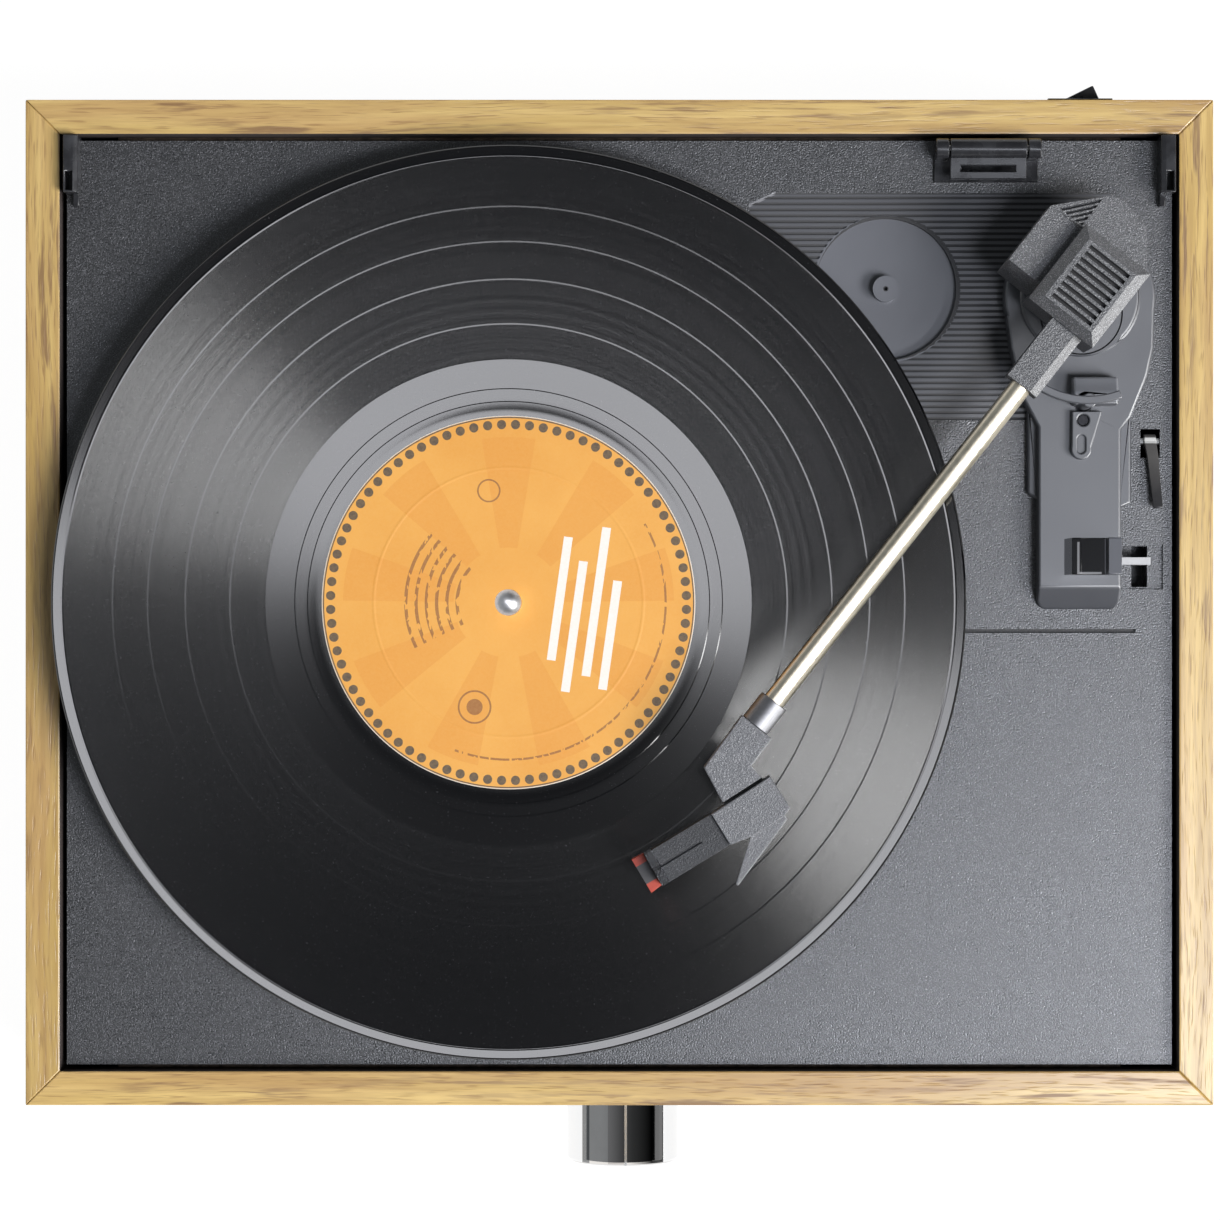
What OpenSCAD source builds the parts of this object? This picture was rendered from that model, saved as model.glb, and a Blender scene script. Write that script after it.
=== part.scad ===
// Compact belt-drive record player in a mitred wooden plinth, with a pivoted
// pickup arm, a cueing lift, an amplifier inside and two front loudspeakers.
// Millimetres, +Z up, front toward -Y. The feet stand on Z = 0.

/* [Plinth] */
// Width over the side boards
plinth_w = 327.2; // [322:0.1:400]
// Depth over the front and back boards
plinth_d = 277; // [273:0.5:340]
// Height of the rim above the ground
rim_h = 82; // [80:1:114]
// Thickness of the four boards
board_t = 9.4; // [8:0.1:10.5]
// Thickness of the bottom panel
panel_t = 4; // [3:0.5:8]
// Height of the rubber feet
foot_h = 8; // [5:0.5:12]
// Radius of the rubber feet
foot_r = 10; // [7:0.5:14]
// Distance of a foot from the plinth edges
foot_inset = 30; // [18:1:60]

/* [Deck] */
// Depth of the deck below the rim
deck_drop = 5; // [3:0.5:7]
// Thickness of the deck
deck_t = 4; // [3.5:0.5:5]
// Gap between the deck and the boards
deck_gap = 1.4; // [0.5:0.1:2]
// Width of the battens under the deck
batten_w = 8; // [6:0.5:10]
// Height of the battens
batten_h = 4; // [3:0.5:5]
// Distance between two ribs of the ribbed field
rib_pitch = 1.65; // [1.4:0.05:2.4]
// Depth of the grooves between the ribs
rib_depth = 0.5; // [0.3:0.1:0.8]
// Radius of the storage pocket for the centre adapter
pocket_r = 19.6; // [15:0.1:20]
// Depth of the storage pocket
pocket_depth = 2.4; // [0.8:0.1:2.8]

/* [Platter and record] */
// Spindle position, left and right of the middle
spindle_x = -30.3; // [-34:0.1:-27]
// Diameter of the record
record_d = 250; // [175:1:252]
// Thickness of the record in the grooves
record_t = 1.4; // [1.2:0.1:1.8]
// Height of the record underside above the rim
record_rise = 9; // [8:0.5:11]
// Diameter of the paper label
label_d = 102; // [90:1:110]
// Diameter of the platter
platter_d = 200; // [180:1:220]
// Thickness of the felt mat
mat_t = 1.5; // [1:0.1:2.5]
// Diameter of the spindle in the record hole
spindle_d = 7.1; // [6.8:0.05:7.2]
// Diameter of the drive ring under the platter
ring_d = 110; // [90:1:120]

/* [Motor and belt] */
// Distance of the motor from the spindle
motor_reach = 74; // [70:1:84]
// Direction of the motor seen from the spindle
motor_angle = 120; // [100:1:150]
// Diameter of the motor can
motor_d = 32; // [26:1:38]
// Height of the motor can
motor_h = 26; // [20:1:34]
// Diameter of the motor pulley
pulley_d = 12; // [9:0.5:16]
// Thickness of the belt
belt_t = 0.7; // [0.5:0.1:1.2]
// Height of the belt
belt_h = 4; // [3:0.5:5]

/* [Pickup arm] */
// Arm pivot, right of the middle
pivot_x = 126.8; // [125:0.1:128]
// Arm pivot, behind the middle
pivot_y = 79.4; // [77:0.1:81]
// Direction of the arm over the record
arm_angle = 231.9; // [228:0.1:236]
// Height of the tube axis above the rim
arm_rise = 27; // [25:0.5:30]
// Diameter of the arm tube
tube_d = 6; // [5:0.1:7]
// Wall of the arm tube
tube_wall = 0.6; // [0.4:0.1:1]
// Distance from the pivot to the end of the tube sleeve
sleeve_end = 28.4; // [26:0.1:32]
// Distance from the pivot to the back of the collar
collar_start = 136; // [134:0.1:137]
// Radius of the turret disc
turret_r = 11; // [10:0.1:11.6]
// Height of the arm base above the deck
base_h = 8; // [7:0.5:9]
// Radius of the cueing bar about the pivot
lift_r = 24.6; // [24:0.1:25]

/* [Controls] */
// Volume knob, right of the middle
knob_x = 1; // [-20:0.5:20]
// Diameter of the volume knob
knob_d = 31.6; // [24:0.1:34]
// Reach of the volume knob in front of the board
knob_reach = 19.8; // [16:0.1:24]
// Power switch, right of the middle
switch_x = 128.4; // [110:0.1:132]
// Height of the power switch below the rim
switch_drop = 20; // [19:0.5:28]
// Connector plate, right of the middle
plate_x = 56; // [30:1:70]

/* [Loudspeakers] */
// Distance of each loudspeaker from the middle
speaker_x = 92; // [70:1:105]
// Radius of the loudspeaker frame
speaker_r = 25; // [20:0.5:25]
// Number of sound slots in front of each loudspeaker
slot_count = 6; // [4:1:7]

/* [Fits] */
// Radial running clearance of a shaft
run_gap = 0.05; // [0.02:0.01:0.1]
// Gap beside a part that is placed or glued
seat_gap = 0.05; // [0.02:0.01:0.1]
// Gap beside a part that swings or slides past another
swing_gap = 0.4; // [0.3:0.05:0.6]

/* [Hidden] */
$fn = 72;
eps = 0.01;

wood_colour = [0.80, 0.62, 0.36];
panel_colour = [0.45, 0.35, 0.25];
black_colour = [0.12, 0.12, 0.13];
grey_colour = [0.33, 0.34, 0.36];
rubber_colour = [0.08, 0.08, 0.08];
steel_colour = [0.70, 0.71, 0.72];
chrome_colour = [0.85, 0.86, 0.88];
brass_colour = [0.78, 0.62, 0.30];
vinyl_colour = [0.05, 0.05, 0.06];
label_colour = [0.93, 0.62, 0.22];
red_colour = [0.75, 0.12, 0.08];
white_colour = [0.90, 0.90, 0.87];
board_colour = [0.10, 0.35, 0.18];
cone_colour = [0.15, 0.14, 0.13];
felt_colour = [0.14, 0.14, 0.15];

board_z = foot_h + panel_t;
board_h = rim_h - board_z;
inner_x = plinth_w/2 - board_t;
inner_y = plinth_d/2 - board_t;
deck_z = rim_h - deck_drop;
deck_bottom = deck_z - deck_t;
deck_x = inner_x - deck_gap;
deck_y = inner_y - deck_gap;
front_drop = 4;
front_mid_z = (board_z + rim_h)/2 - front_drop;
rocker_reach = 6.4;
switch_z = rim_h - switch_drop;
rocker_sink = 0.5;
switch_axis_y = plinth_d/2 - rocker_sink;
jack_r = 4.15;
jack_neck_r = 3.4;
jack_reach = 9;
jack_body = [12, 10, 12];
jack_offsets = [-14, 4];
inlet_offset = 21;
inlet_body = [10, 14, 10];
inlet_well_r = 2.8;
inlet_pin_r = 1;
plate_size = [64, 1.5, 28];
housing_flange = [18, 2, 13];
housing_body = [16.2, 16.5, 10.8];
housing_well = [14.6, 12, 9.4];
spindle_relief = 0.4;
relief_h = 0.65;
rocker_pin_r = 1.2;
shift_y = (knob_reach - rocker_reach + rocker_sink)/2;

screw_r = 1.5;
screw_hole_r = screw_r + seat_gap;
head_r = 2.9;

record_z = rim_h + record_rise;
label_top = record_z + record_t + 0.35;
platter_top = record_z - mat_t;
platter_plate = 2.5;
platter_bottom = deck_z + 2;
skirt_t = 3;
hub_r = 9;
bush_flange_t = 1;
shaft_r = 3;
bush_r = 6;
bush_depth = 20;
belt_z = deck_z + 3.6;
motor_x = spindle_x + motor_reach*cos(motor_angle);
motor_y = motor_reach*sin(motor_angle);
motor_screw_reach = 11;
belt_gap = 0.3;

arm_z = rim_h + arm_rise;
pitch_z = arm_z - 7;
tube_v = -1.65;
tube_r = tube_d/2;
collar_end = collar_start + 8.3;
base_top = deck_z + base_h;
dish_floor = base_top - 2.4;
dish_r = turret_r + swing_gap;
disc_at = [126.6, 84];
disc_r = 16.5;
disc_h = 1;
disc_bevel = 0.4;
sleeve_bottom = arm_z - 4.5;
bar_top = sleeve_bottom - 0.3;
rest_x = 128.2;
rest_y = 12.5;
rest_length = 10;
rest_floor = arm_z - tube_r - 4;
rest_lip = arm_z - tube_r - swing_gap;
lift_x = 127.4;
lift_y = pivot_y - sqrt(lift_r*lift_r - (lift_x - pivot_x)*(lift_x - pivot_x));
lift_pin_r = 2;
tongue_h = 2.4;
tongue_end = [126.7, 42];
tongue_screw = [127.2, 50];

lever_x = 146.8;
lever_y = 44.6;
lever_z = deck_z - 2;
lever_w = 3.3;
lever_slot_w = 5.4;
trunnion_r = 1;
slider_x = 143.9;
slider_y = 11.4;
slider_slot_w = 4.4;
slider_slot_y = [3.7, 16.2];

hinge_x = 101.3;
hinge_y = inner_y - 4.4;
hinge_z = deck_z + 9.2;
hinge_half = 14.4;
knuckle_w = 3.5;
barrel_r = 2.7;
pin_r = 0.9;

panel_screws_at = [
    for (sx = [-1, 1], k = [-1, 1]) [sx*(plinth_w/2 - board_t/2), k*plinth_d/4],
    for (sy = [-1, 1], k = [-1, 1]) [k*plinth_w/4, sy*(plinth_d/2 - board_t/2)]
];
deck_screws_at = [
    for (sx = [-1, 1], sy = [-1, 1]) [sx*plinth_w/6, sy*(inner_y - batten_w/2)]
];
base_screws_at = [[126.5, 26], [126.5, 36]];
board_at = [20, 62];
board_size = [90, 60];
board_posts_at = [
    for (sx = [-1, 1], sy = [-1, 1]) board_at + [sx*(board_size[0]/2 - 5), sy*(board_size[1]/2 - 5)]
];
post_h = 8;

// Places a part that is drawn in the arm's own frame: x forward, y to its outer side
module on_arm() {
    translate([pivot_x, pivot_y, 0])
        rotate([0, 0, arm_angle])
            children();
}

// Turns a profile drawn in y and z so that it runs along x
module along_x(length) {
    rotate([90, 0, 90])
        linear_extrude(length)
            children();
}

// Turns a profile drawn in x and z so that it runs along -y, from the given y
module along_y(from_y, length) {
    translate([0, from_y + length, 0])
        rotate([90, 0, 0])
            linear_extrude(length)
                children();
}

// Round bar along y
module bar_y(r, from_y, length) {
    translate([0, from_y, 0])
        rotate([-90, 0, 0])
            cylinder(r = r, h = length);
}

// Round bar along x
module bar_x(r, from_x, length) {
    translate([from_x, 0, 0])
        rotate([0, 90, 0])
            cylinder(r = r, h = length);
}

module mitred_board(length, depth) {
    translate([0, 0, board_z])
        linear_extrude(board_h)
            polygon([
                [-length/2, -depth/2], [length/2, -depth/2],
                [length/2 - board_t, -depth/2 + board_t], [-length/2 + board_t, -depth/2 + board_t]
            ]);
}

module panel_screw_holes() {
    for (p = panel_screws_at)
        translate([p[0], p[1], board_z - eps])
            cylinder(r = screw_hole_r, h = 12.3);
}

module front_board() {
    slot_w = speaker_r*1.6;
    slot_h = 3;
    slot_pitch = 6.6;
    color(wood_colour)
    difference() {
        mitred_board(plinth_w, plinth_d);
        panel_screw_holes();
        translate([knob_x, 0, front_mid_z]) {
            bar_y(3.5 + seat_gap, -plinth_d/2 - 1, board_t + 2);
            bar_y(12, -plinth_d/2 + 4, board_t);
        }
        for (sx = [-1, 1], i = [0 : slot_count - 1])
            translate([sx*speaker_x - slot_w/2, -plinth_d/2 - 1,
                       front_mid_z + (i - (slot_count - 1)/2)*slot_pitch - slot_h/2])
                cube([slot_w, board_t + 2, slot_h]);
        speaker_screw_holes();
    }
}

module back_board() {
    color(wood_colour)
    difference() {
        rotate([0, 0, 180])
            mitred_board(plinth_w, plinth_d);
        panel_screw_holes();
        translate([switch_x - 8.2, inner_y - 1, switch_z - 5.5])
            cube([16.4, board_t + 2, 11]);
        translate([plate_x - 28, inner_y - 1, front_mid_z - 11])
            cube([56, board_t + 2, 22]);
    }
}

module left_board() {
    color(wood_colour)
    difference() {
        rotate([0, 0, -90])
            mitred_board(plinth_d, plinth_w);
        panel_screw_holes();
    }
}

module right_board() {
    color(wood_colour)
    difference() {
        rotate([0, 0, 90])
            mitred_board(plinth_d, plinth_w);
        panel_screw_holes();
    }
}

module bottom_panel() {
    color(panel_colour)
    difference() {
        translate([-plinth_w/2, -plinth_d/2, foot_h])
            cube([plinth_w, plinth_d, panel_t]);
        for (p = panel_screws_at)
            translate([p[0], p[1], foot_h - 1]) {
                cylinder(r = screw_hole_r, h = panel_t + 2);
                cylinder(r = head_r + seat_gap, h = 2.7);
            }
    }
}

module panel_screws() {
    color(steel_colour)
    for (p = panel_screws_at)
        translate([p[0], p[1], foot_h]) {
            cylinder(r = head_r, h = 1.7);
            translate([0, 0, 1.6])
                cylinder(r = screw_r, h = panel_t + 10);
        }
}

module rubber_feet() {
    color(rubber_colour)
    for (sx = [-1, 1], sy = [-1, 1])
        translate([sx*(plinth_w/2 - foot_inset), sy*(plinth_d/2 - foot_inset), 0])
            rotate_extrude()
                polygon([
                    [0, 0], [foot_r - 1.2, 0], [foot_r - 0.6, 0.8],
                    [foot_r, foot_h], [0, foot_h]
                ]);
}

module deck_battens() {
    color(wood_colour)
    difference() {
        for (sy = [-1, 1])
            translate([-inner_x + 15, sy*(inner_y - batten_w/2) - batten_w/2, deck_bottom - batten_h])
                cube([2*inner_x - 30, batten_w, batten_h]);
        for (p = deck_screws_at)
            translate([p[0], p[1], deck_bottom - batten_h - 1])
                cylinder(r = screw_hole_r, h = batten_h + 2);
    }
}

module deck_screws() {
    color(steel_colour)
    for (p = deck_screws_at)
        translate([p[0], p[1], deck_bottom - batten_h - 1.6]) {
            cylinder(r = head_r, h = 1.6);
            cylinder(r = screw_r, h = 1.6 + batten_h + deck_t - 1.2);
        }
}

// Ribbed field of the deck, between the record and the arm base
module rib_field() {
    field_y = [50.5, 113.2];
    difference() {
        intersection() {
            polygon([[36, 109.8], [43, 113.2], [136, 113.2], [136, 95], [114, 50.5], [80, 50.5], [36, 95]]);
            for (y = [field_y[0] : rib_pitch : field_y[1]])
                translate([30, y])
                    square([110, rib_pitch*0.45]);
        }
        translate([73.6, 86.7])
            circle(r = pocket_r + 0.6);
    }
}

module deck_plate() {
    pocket_at = [73.6, 86.7];
    line_y = -7.85;
    line_w = 1.1;
    line_end = 142.8;
    line_depth = 0.8;
    color(black_colour) {
        difference() {
            union() {
                translate([-deck_x, -deck_y, deck_bottom])
                    cube([2*deck_x, 2*deck_y, deck_t]);
                translate([spindle_x, 0, deck_bottom - 12])
                    cylinder(r = bush_r + 4, h = 13);
            }
            translate([spindle_x, 0, 0])
                cylinder(r = bush_r + seat_gap, h = rim_h);
            translate([motor_x, motor_y, 0])
                cylinder(r = pulley_d/2 + 3, h = rim_h);
            for (s = [-1, 1])
                translate([motor_x, motor_y + s*motor_screw_reach, 0])
                    cylinder(r = screw_hole_r, h = rim_h);
            for (p = deck_screws_at)
                translate([p[0], p[1], deck_bottom - 1])
                    cylinder(r = screw_hole_r, h = deck_t);
            for (p = base_screws_at)
                translate([p[0], p[1], 0])
                    cylinder(r = screw_hole_r, h = rim_h);
            translate([pivot_x, pivot_y, 0])
                cylinder(r = 7 + 2*seat_gap, h = rim_h);
            translate([pocket_at[0], pocket_at[1], deck_z - pocket_depth])
                cylinder(r = pocket_r, h = pocket_depth + 1);
            translate([0, 0, deck_z - rib_depth])
                linear_extrude(1)
                    rib_field();
            translate([60, line_y - line_w/2, deck_z - line_depth])
                cube([line_end - 60, line_w, 1]);
            translate([lever_x - lever_slot_w/2, lever_y - 4.6, deck_bottom - 1])
                cube([lever_slot_w, 8, deck_t + 2]);
            translate([lever_x, lever_y, lever_z])
                bar_x(trunnion_r + run_gap, -lever_slot_w/2 - 1.6, lever_slot_w + 3.2);
            translate([138.9, slider_slot_y[0], deck_z - 1])
                cube([11.4, slider_slot_y[1] - slider_slot_y[0], 2]);
            translate([slider_x - slider_slot_w/2, slider_slot_y[0] + 0.6, deck_bottom - 1])
                cube([slider_slot_w, slider_slot_y[1] - slider_slot_y[0] - 1.2, deck_t + 2]);
        }
        translate([pocket_at[0], pocket_at[1], deck_z - pocket_depth - eps])
            difference() {
                cylinder(r = 3.6, h = pocket_depth + 1.6);
                translate([0, 0, pocket_depth])
                    cylinder(r = 0.5, h = 2);
            }
    }
}

module main_bush() {
    color(brass_colour)
    translate([spindle_x, 0, 0])
        difference() {
            union() {
                translate([0, 0, deck_z - bush_depth])
                    cylinder(r = bush_r, h = bush_depth);
                translate([0, 0, deck_z])
                    cylinder(r = bush_r + 2.5, h = bush_flange_t);
            }
            translate([0, 0, deck_z - bush_depth + 2])
                cylinder(r = shaft_r + run_gap, h = bush_depth);
        }
}

module motor_can() {
    color(steel_colour)
    translate([motor_x, motor_y, 0])
        difference() {
            union() {
                translate([0, 0, deck_bottom - motor_h])
                    cylinder(r = motor_d/2, h = motor_h);
                translate([0, 0, deck_bottom - motor_h - 3])
                    cylinder(r = 4, h = 4);
            }
            translate([0, 0, deck_bottom - 12])
                cylinder(r = 1.6, h = 13);
            for (s = [-1, 1])
                translate([0, s*motor_screw_reach, deck_bottom - 5])
                    cylinder(r = screw_hole_r, h = 6);
        }
}

module motor_screws() {
    color(steel_colour)
    for (s = [-1, 1])
        translate([motor_x, motor_y + s*motor_screw_reach, 0]) {
            translate([0, 0, deck_bottom - 4])
                cylinder(r = screw_r, h = deck_t + 4.2);
            translate([0, 0, deck_z])
                cylinder(r = head_r, h = 1.4);
        }
}

module belt_loop(extra) {
    hull() {
        circle(r = ring_d/2 + belt_gap + extra, $fn = 128);
        rotate([0, 0, motor_angle])
            translate([motor_reach, 0])
                circle(r = pulley_d/2 + belt_gap + extra, $fn = 64);
    }
}

module drive_belt() {
    color(rubber_colour)
    translate([spindle_x, 0, belt_z])
        linear_extrude(belt_h)
            difference() {
                belt_loop(belt_t);
                belt_loop(0);
            }
}

module speaker_screw_holes() {
    for (sx = [-1, 1], a = [45 : 90 : 315])
        translate([sx*speaker_x + (speaker_r - 3)*cos(a), 0, front_mid_z + (speaker_r - 3)*sin(a)])
            bar_y(1 + seat_gap, -inner_y - 5, 6);
}

module speaker(sx) {
    translate([sx*speaker_x, 0, front_mid_z])
        difference() {
            union() {
                bar_y(speaker_r, -inner_y, 2);
                translate([0, -inner_y + 2, 0])
                    rotate([-90, 0, 0])
                        cylinder(r1 = speaker_r - 5.5, r2 = 12, h = 12);
                bar_y(15, -inner_y + 13.9, 8);
            }
            translate([0, -inner_y - eps, 0])
                rotate([-90, 0, 0])
                    cylinder(r1 = speaker_r - 6.2, r2 = 9, h = 13);
            for (a = [45 : 90 : 315])
                translate([(speaker_r - 3)*cos(a), 0, (speaker_r - 3)*sin(a)])
                    bar_y(1 + seat_gap, -inner_y - 1, 4);
        }
}

module left_speaker() {
    color(steel_colour)
        speaker(-1);
}

module right_speaker() {
    color(steel_colour)
        speaker(1);
}

// Paper cone with its dust cap, inside the loudspeaker frame
module cone(sx) {
    translate([sx*speaker_x, -inner_y + 0.8, front_mid_z])
        rotate([-90, 0, 0])
            rotate_extrude()
                polygon([
                    [0, 7.6], [4, 7.2], [6.5, 8], [speaker_r - 9.2, 0], [speaker_r - 8.4, 0],
                    [speaker_r - 8.4, 0.6], [7.2, 9.2], [0, 9.2]
                ]);
}

module left_cone() {
    color(cone_colour)
        cone(-1);
}

module right_cone() {
    color(cone_colour)
        cone(1);
}

module speaker_screws() {
    color(steel_colour)
    for (sx = [-1, 1], a = [45 : 90 : 315])
        translate([sx*speaker_x + (speaker_r - 3)*cos(a), 0, front_mid_z + (speaker_r - 3)*sin(a)]) {
            bar_y(1, -inner_y - 4.5, 6.6);
            bar_y(2, -inner_y + 2, 1.2);
        }
}

module amplifier_board() {
    color(board_colour)
    translate([board_at[0], board_at[1], board_z + post_h]) {
        difference() {
            translate([-board_size[0]/2, -board_size[1]/2, 0])
                cube([board_size[0], board_size[1], 1.6]);
            for (p = board_posts_at)
                translate([p[0] - board_at[0], p[1] - board_at[1], -1])
                    cylinder(r = 1.5 + seat_gap, h = 4);
        }
        for (x = [-24, -10, 4])
            translate([x, 12, 1.5])
                cylinder(r = 5, h = 16);
        translate([18, -6, 1.5])
            cube([16, 4, 20]);
        translate([-30, -22, 1.5])
            cube([22, 8, 9]);
    }
}

module board_posts() {
    color(brass_colour)
    for (p = board_posts_at)
        translate([p[0], p[1], board_z]) {
            cylinder(r = 3, h = post_h);
            cylinder(r = 1.5, h = post_h + 3);
        }
}

module volume_pot() {
    color(steel_colour)
    translate([knob_x, 0, front_mid_z])
        difference() {
            union() {
                bar_y(8.5, -plinth_d/2 + 4, 9);
                bar_y(3.5, -plinth_d/2 - 3.6, 8);
            }
            bar_y(shaft_r + run_gap, -plinth_d/2 - 4, 14);
        }
}

module pot_nut() {
    color(steel_colour)
    translate([knob_x, 0, front_mid_z])
        difference() {
            translate([0, -plinth_d/2 - 2, 0])
                rotate([-90, 0, 0])
                    cylinder(r = 5.5, h = 2, $fn = 6);
            bar_y(3.5 + seat_gap, -plinth_d/2 - 3, 4);
        }
}

module volume_knob() {
    r = knob_d/2;
    color(chrome_colour)
    translate([knob_x, -plinth_d/2, front_mid_z])
        rotate([90, 0, 0])
            rotate_extrude()
                polygon([
                    [0, -9], [shaft_r, -9], [shaft_r, 5], [8, 5], [8, 1.2], [r - 0.5, 1.2], [r, 1.7],
                    [r, knob_reach - 1.2], [r - 1.2, knob_reach], [0, knob_reach]
                ]);
}

module jack_plate() {
    color(black_colour)
    difference() {
        translate([plate_x - plate_size[0]/2, inner_y - plate_size[1], front_mid_z - plate_size[2]/2])
            cube(plate_size);
        for (x = jack_offsets)
            translate([plate_x + x, 0, front_mid_z])
                bar_y(jack_neck_r + seat_gap, inner_y - 3, 6);
        translate([plate_x + inlet_offset - inlet_body[0]/2 - 2*seat_gap, inner_y - 3,
                   front_mid_z - inlet_body[2]/2 - 2*seat_gap])
            cube([inlet_body[0] + 4*seat_gap, 6, inlet_body[2] + 4*seat_gap]);
    }
}

module jack(x) {
    translate([plate_x + x, 0, front_mid_z]) {
        difference() {
            union() {
                bar_y(jack_r, inner_y + 0.2, jack_reach - 0.2);
                bar_y(jack_neck_r, inner_y - 2, 3);
                translate([-jack_body[0]/2, inner_y - plate_size[1] - jack_body[1], -jack_body[2]/2])
                    cube(jack_body);
            }
            bar_y(1.7, inner_y, 10);
        }
    }
}

module left_jack() {
    color(white_colour)
        jack(jack_offsets[0]);
}

module right_jack() {
    color(red_colour)
        jack(jack_offsets[1]);
}

module power_inlet() {
    color(black_colour)
    translate([plate_x + inlet_offset, 0, front_mid_z])
        difference() {
            translate([-inlet_body[0]/2, inner_y - 12, -inlet_body[2]/2])
                cube(inlet_body);
            difference() {
                bar_y(inlet_well_r, inner_y - 8, 11);
                bar_y(inlet_pin_r, inner_y - 9, 10);
            }
        }
}

module switch_housing() {
    color(black_colour)
    translate([switch_x, plinth_d/2, switch_z])
        difference() {
            union() {
                translate([-housing_flange[0]/2, 0, -housing_flange[2]/2])
                    cube(housing_flange);
                translate([-housing_body[0]/2, -16, -housing_body[2]/2])
                    cube(housing_body);
            }
            translate([-housing_well[0]/2, -9, -housing_well[2]/2])
                cube(housing_well);
            translate([0, switch_axis_y - plinth_d/2, -7])
                cylinder(r = rocker_pin_r + run_gap, h = 14);
        }
}

module power_rocker() {
    color(rubber_colour)
    translate([switch_x, switch_axis_y, switch_z]) {
        translate([0, 0, -4.3])
            linear_extrude(8.6)
                polygon([[-6, 1.6], [3.8, rocker_reach], [5.8, 2], [4.5, -4.5], [-4.5, -4.5]]);
        translate([0, 0, -5.3])
            cylinder(r = rocker_pin_r, h = 10.6);
    }
}

// Outline of the arm base at its top
module base_outline() {
    translate(disc_at)
        circle(r = 20.7);
    polygon([
        [106.4, 79], [107.6, 70], [110.7, 56.5], [115.1, 48.2], [115.1, 5.6], [115.6, 4.5], [116.7, 4],
        [136.3, 4], [137.4, 4.5], [137.9, 5.6], [137.9, 47.4], [140.6, 51], [145, 62], [146.8, 70], [147, 82],
        [126.6, 90]
    ]);
}

module arm_base() {
    color(grey_colour)
    difference() {
        union() {
            translate([0, 0, deck_z])
                linear_extrude(base_h)
                    base_outline();
            intersection() {
                translate([115.1, 0, 0])
                    along_x(22.8)
                        polygon([[8, deck_z], [8, base_top], [4, base_top], [-1.8, deck_z + 1], [-1.8, deck_z]]);
                translate([0, 0, deck_z - 1])
                    linear_extrude(base_h + 2)
                        polygon([
                            [115.1, 9], [115.1, 0.4], [115.8, -1.1], [117.3, -1.8], [135.7, -1.8], [137.2, -1.1],
                            [137.9, 0.4], [137.9, 9]
                        ]);
            }
            translate([0, 0, deck_z])
                linear_extrude(3.5)
                    polygon([
                        [112.5, 53], [112.5, 30], [115.4, 28.3], [138, 26], [141.2, 27.4],
                        [141.2, 52], [137, 54], [115, 54]
                    ]);
            translate([pivot_x, pivot_y, deck_z - 12])
                cylinder(r = 7, h = 13);
            translate([disc_at[0], disc_at[1], base_top - 1])
                cylinder(r = disc_r, h = disc_h - disc_bevel + 1);
            translate([disc_at[0], disc_at[1], base_top + disc_h - disc_bevel])
                cylinder(r1 = disc_r, r2 = disc_r - disc_bevel, h = disc_bevel);
            translate([124, 53.9, base_top - 1])
                difference() {
                    cube([12.3, 7.8, 9]);
                    translate([-1, 9.6, 17])
                        bar_x(10, 0, 15);
                }
        }
        translate([pivot_x, pivot_y, dish_floor])
            cylinder(r = dish_r, h = base_h);
        translate([pivot_x, pivot_y, 0])
            cylinder(r = shaft_r + run_gap, h = base_top);
        translate([lift_x, lift_y, deck_z + 1.5])
            cylinder(r = lift_pin_r + run_gap, h = 30);
        for (p = base_screws_at)
            translate([p[0], p[1], deck_z - 1])
                cylinder(r = screw_hole_r, h = 6.5);
        translate([tongue_screw[0], tongue_screw[1], base_top - 5])
            cylinder(r = 1 + seat_gap, h = 6);
    }
}

module base_screws() {
    color(steel_colour)
    for (p = base_screws_at)
        translate([p[0], p[1], deck_bottom]) {
            cylinder(r = screw_r, h = deck_t + 5);
            translate([0, 0, -1.6])
                cylinder(r = head_r, h = 1.6);
        }
}

module lift_tongue() {
    color(grey_colour)
    difference() {
        translate([0, 0, base_top])
            union() {
                linear_extrude(tongue_h)
                    polygon([[124.1, 52.4], [132.4, 52.4], [129.4, 42.4], [124, 42.4]]);
                translate([tongue_end[0], tongue_end[1], 0])
                    cylinder(r = 2.8, h = tongue_h);
            }
        translate([tongue_screw[0], tongue_screw[1], base_top - 1])
            cylinder(r = 1 + seat_gap, h = 5);
        translate([tongue_screw[0], tongue_screw[1], base_top + 1.2])
            cylinder(r = 1.6, h = 5);
        hull()
            for (y = [0, 2.8])
                translate([tongue_end[0], tongue_end[1] + y, base_top + tongue_h - 0.8])
                    cylinder(r = 1.1, h = 2);
    }
}

module lift_screw() {
    color(steel_colour)
    translate([tongue_screw[0], tongue_screw[1], base_top]) {
        translate([0, 0, -4.5])
            cylinder(r = 1, h = 5.8);
        translate([0, 0, 1.2])
            cylinder(r = 1.5, h = 0.6);
    }
}

module arm_rest() {
    color(black_colour)
        along_y(rest_y - rest_length/2, rest_length)
            polygon([
                [rest_x - 6, base_top], [rest_x + 7, base_top], [rest_x + 7, arm_z + 1],
                [rest_x + tube_r + swing_gap, arm_z + 1], [rest_x + tube_r + swing_gap, rest_floor],
                [rest_x - tube_r - swing_gap, rest_floor], [rest_x - tube_r - swing_gap, rest_lip],
                [rest_x - 6, rest_lip]
            ]);
}

module slider_body() {
    color(black_colour)
    difference() {
        translate([139.2, 0, deck_bottom - 11])
            cube([10.4, 20, 11]);
        translate([slider_x - slider_slot_w/2, slider_slot_y[0] + 0.6, deck_bottom - 9])
            cube([slider_slot_w, slider_slot_y[1] - slider_slot_y[0] - 1.2, 10]);
    }
}

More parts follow.
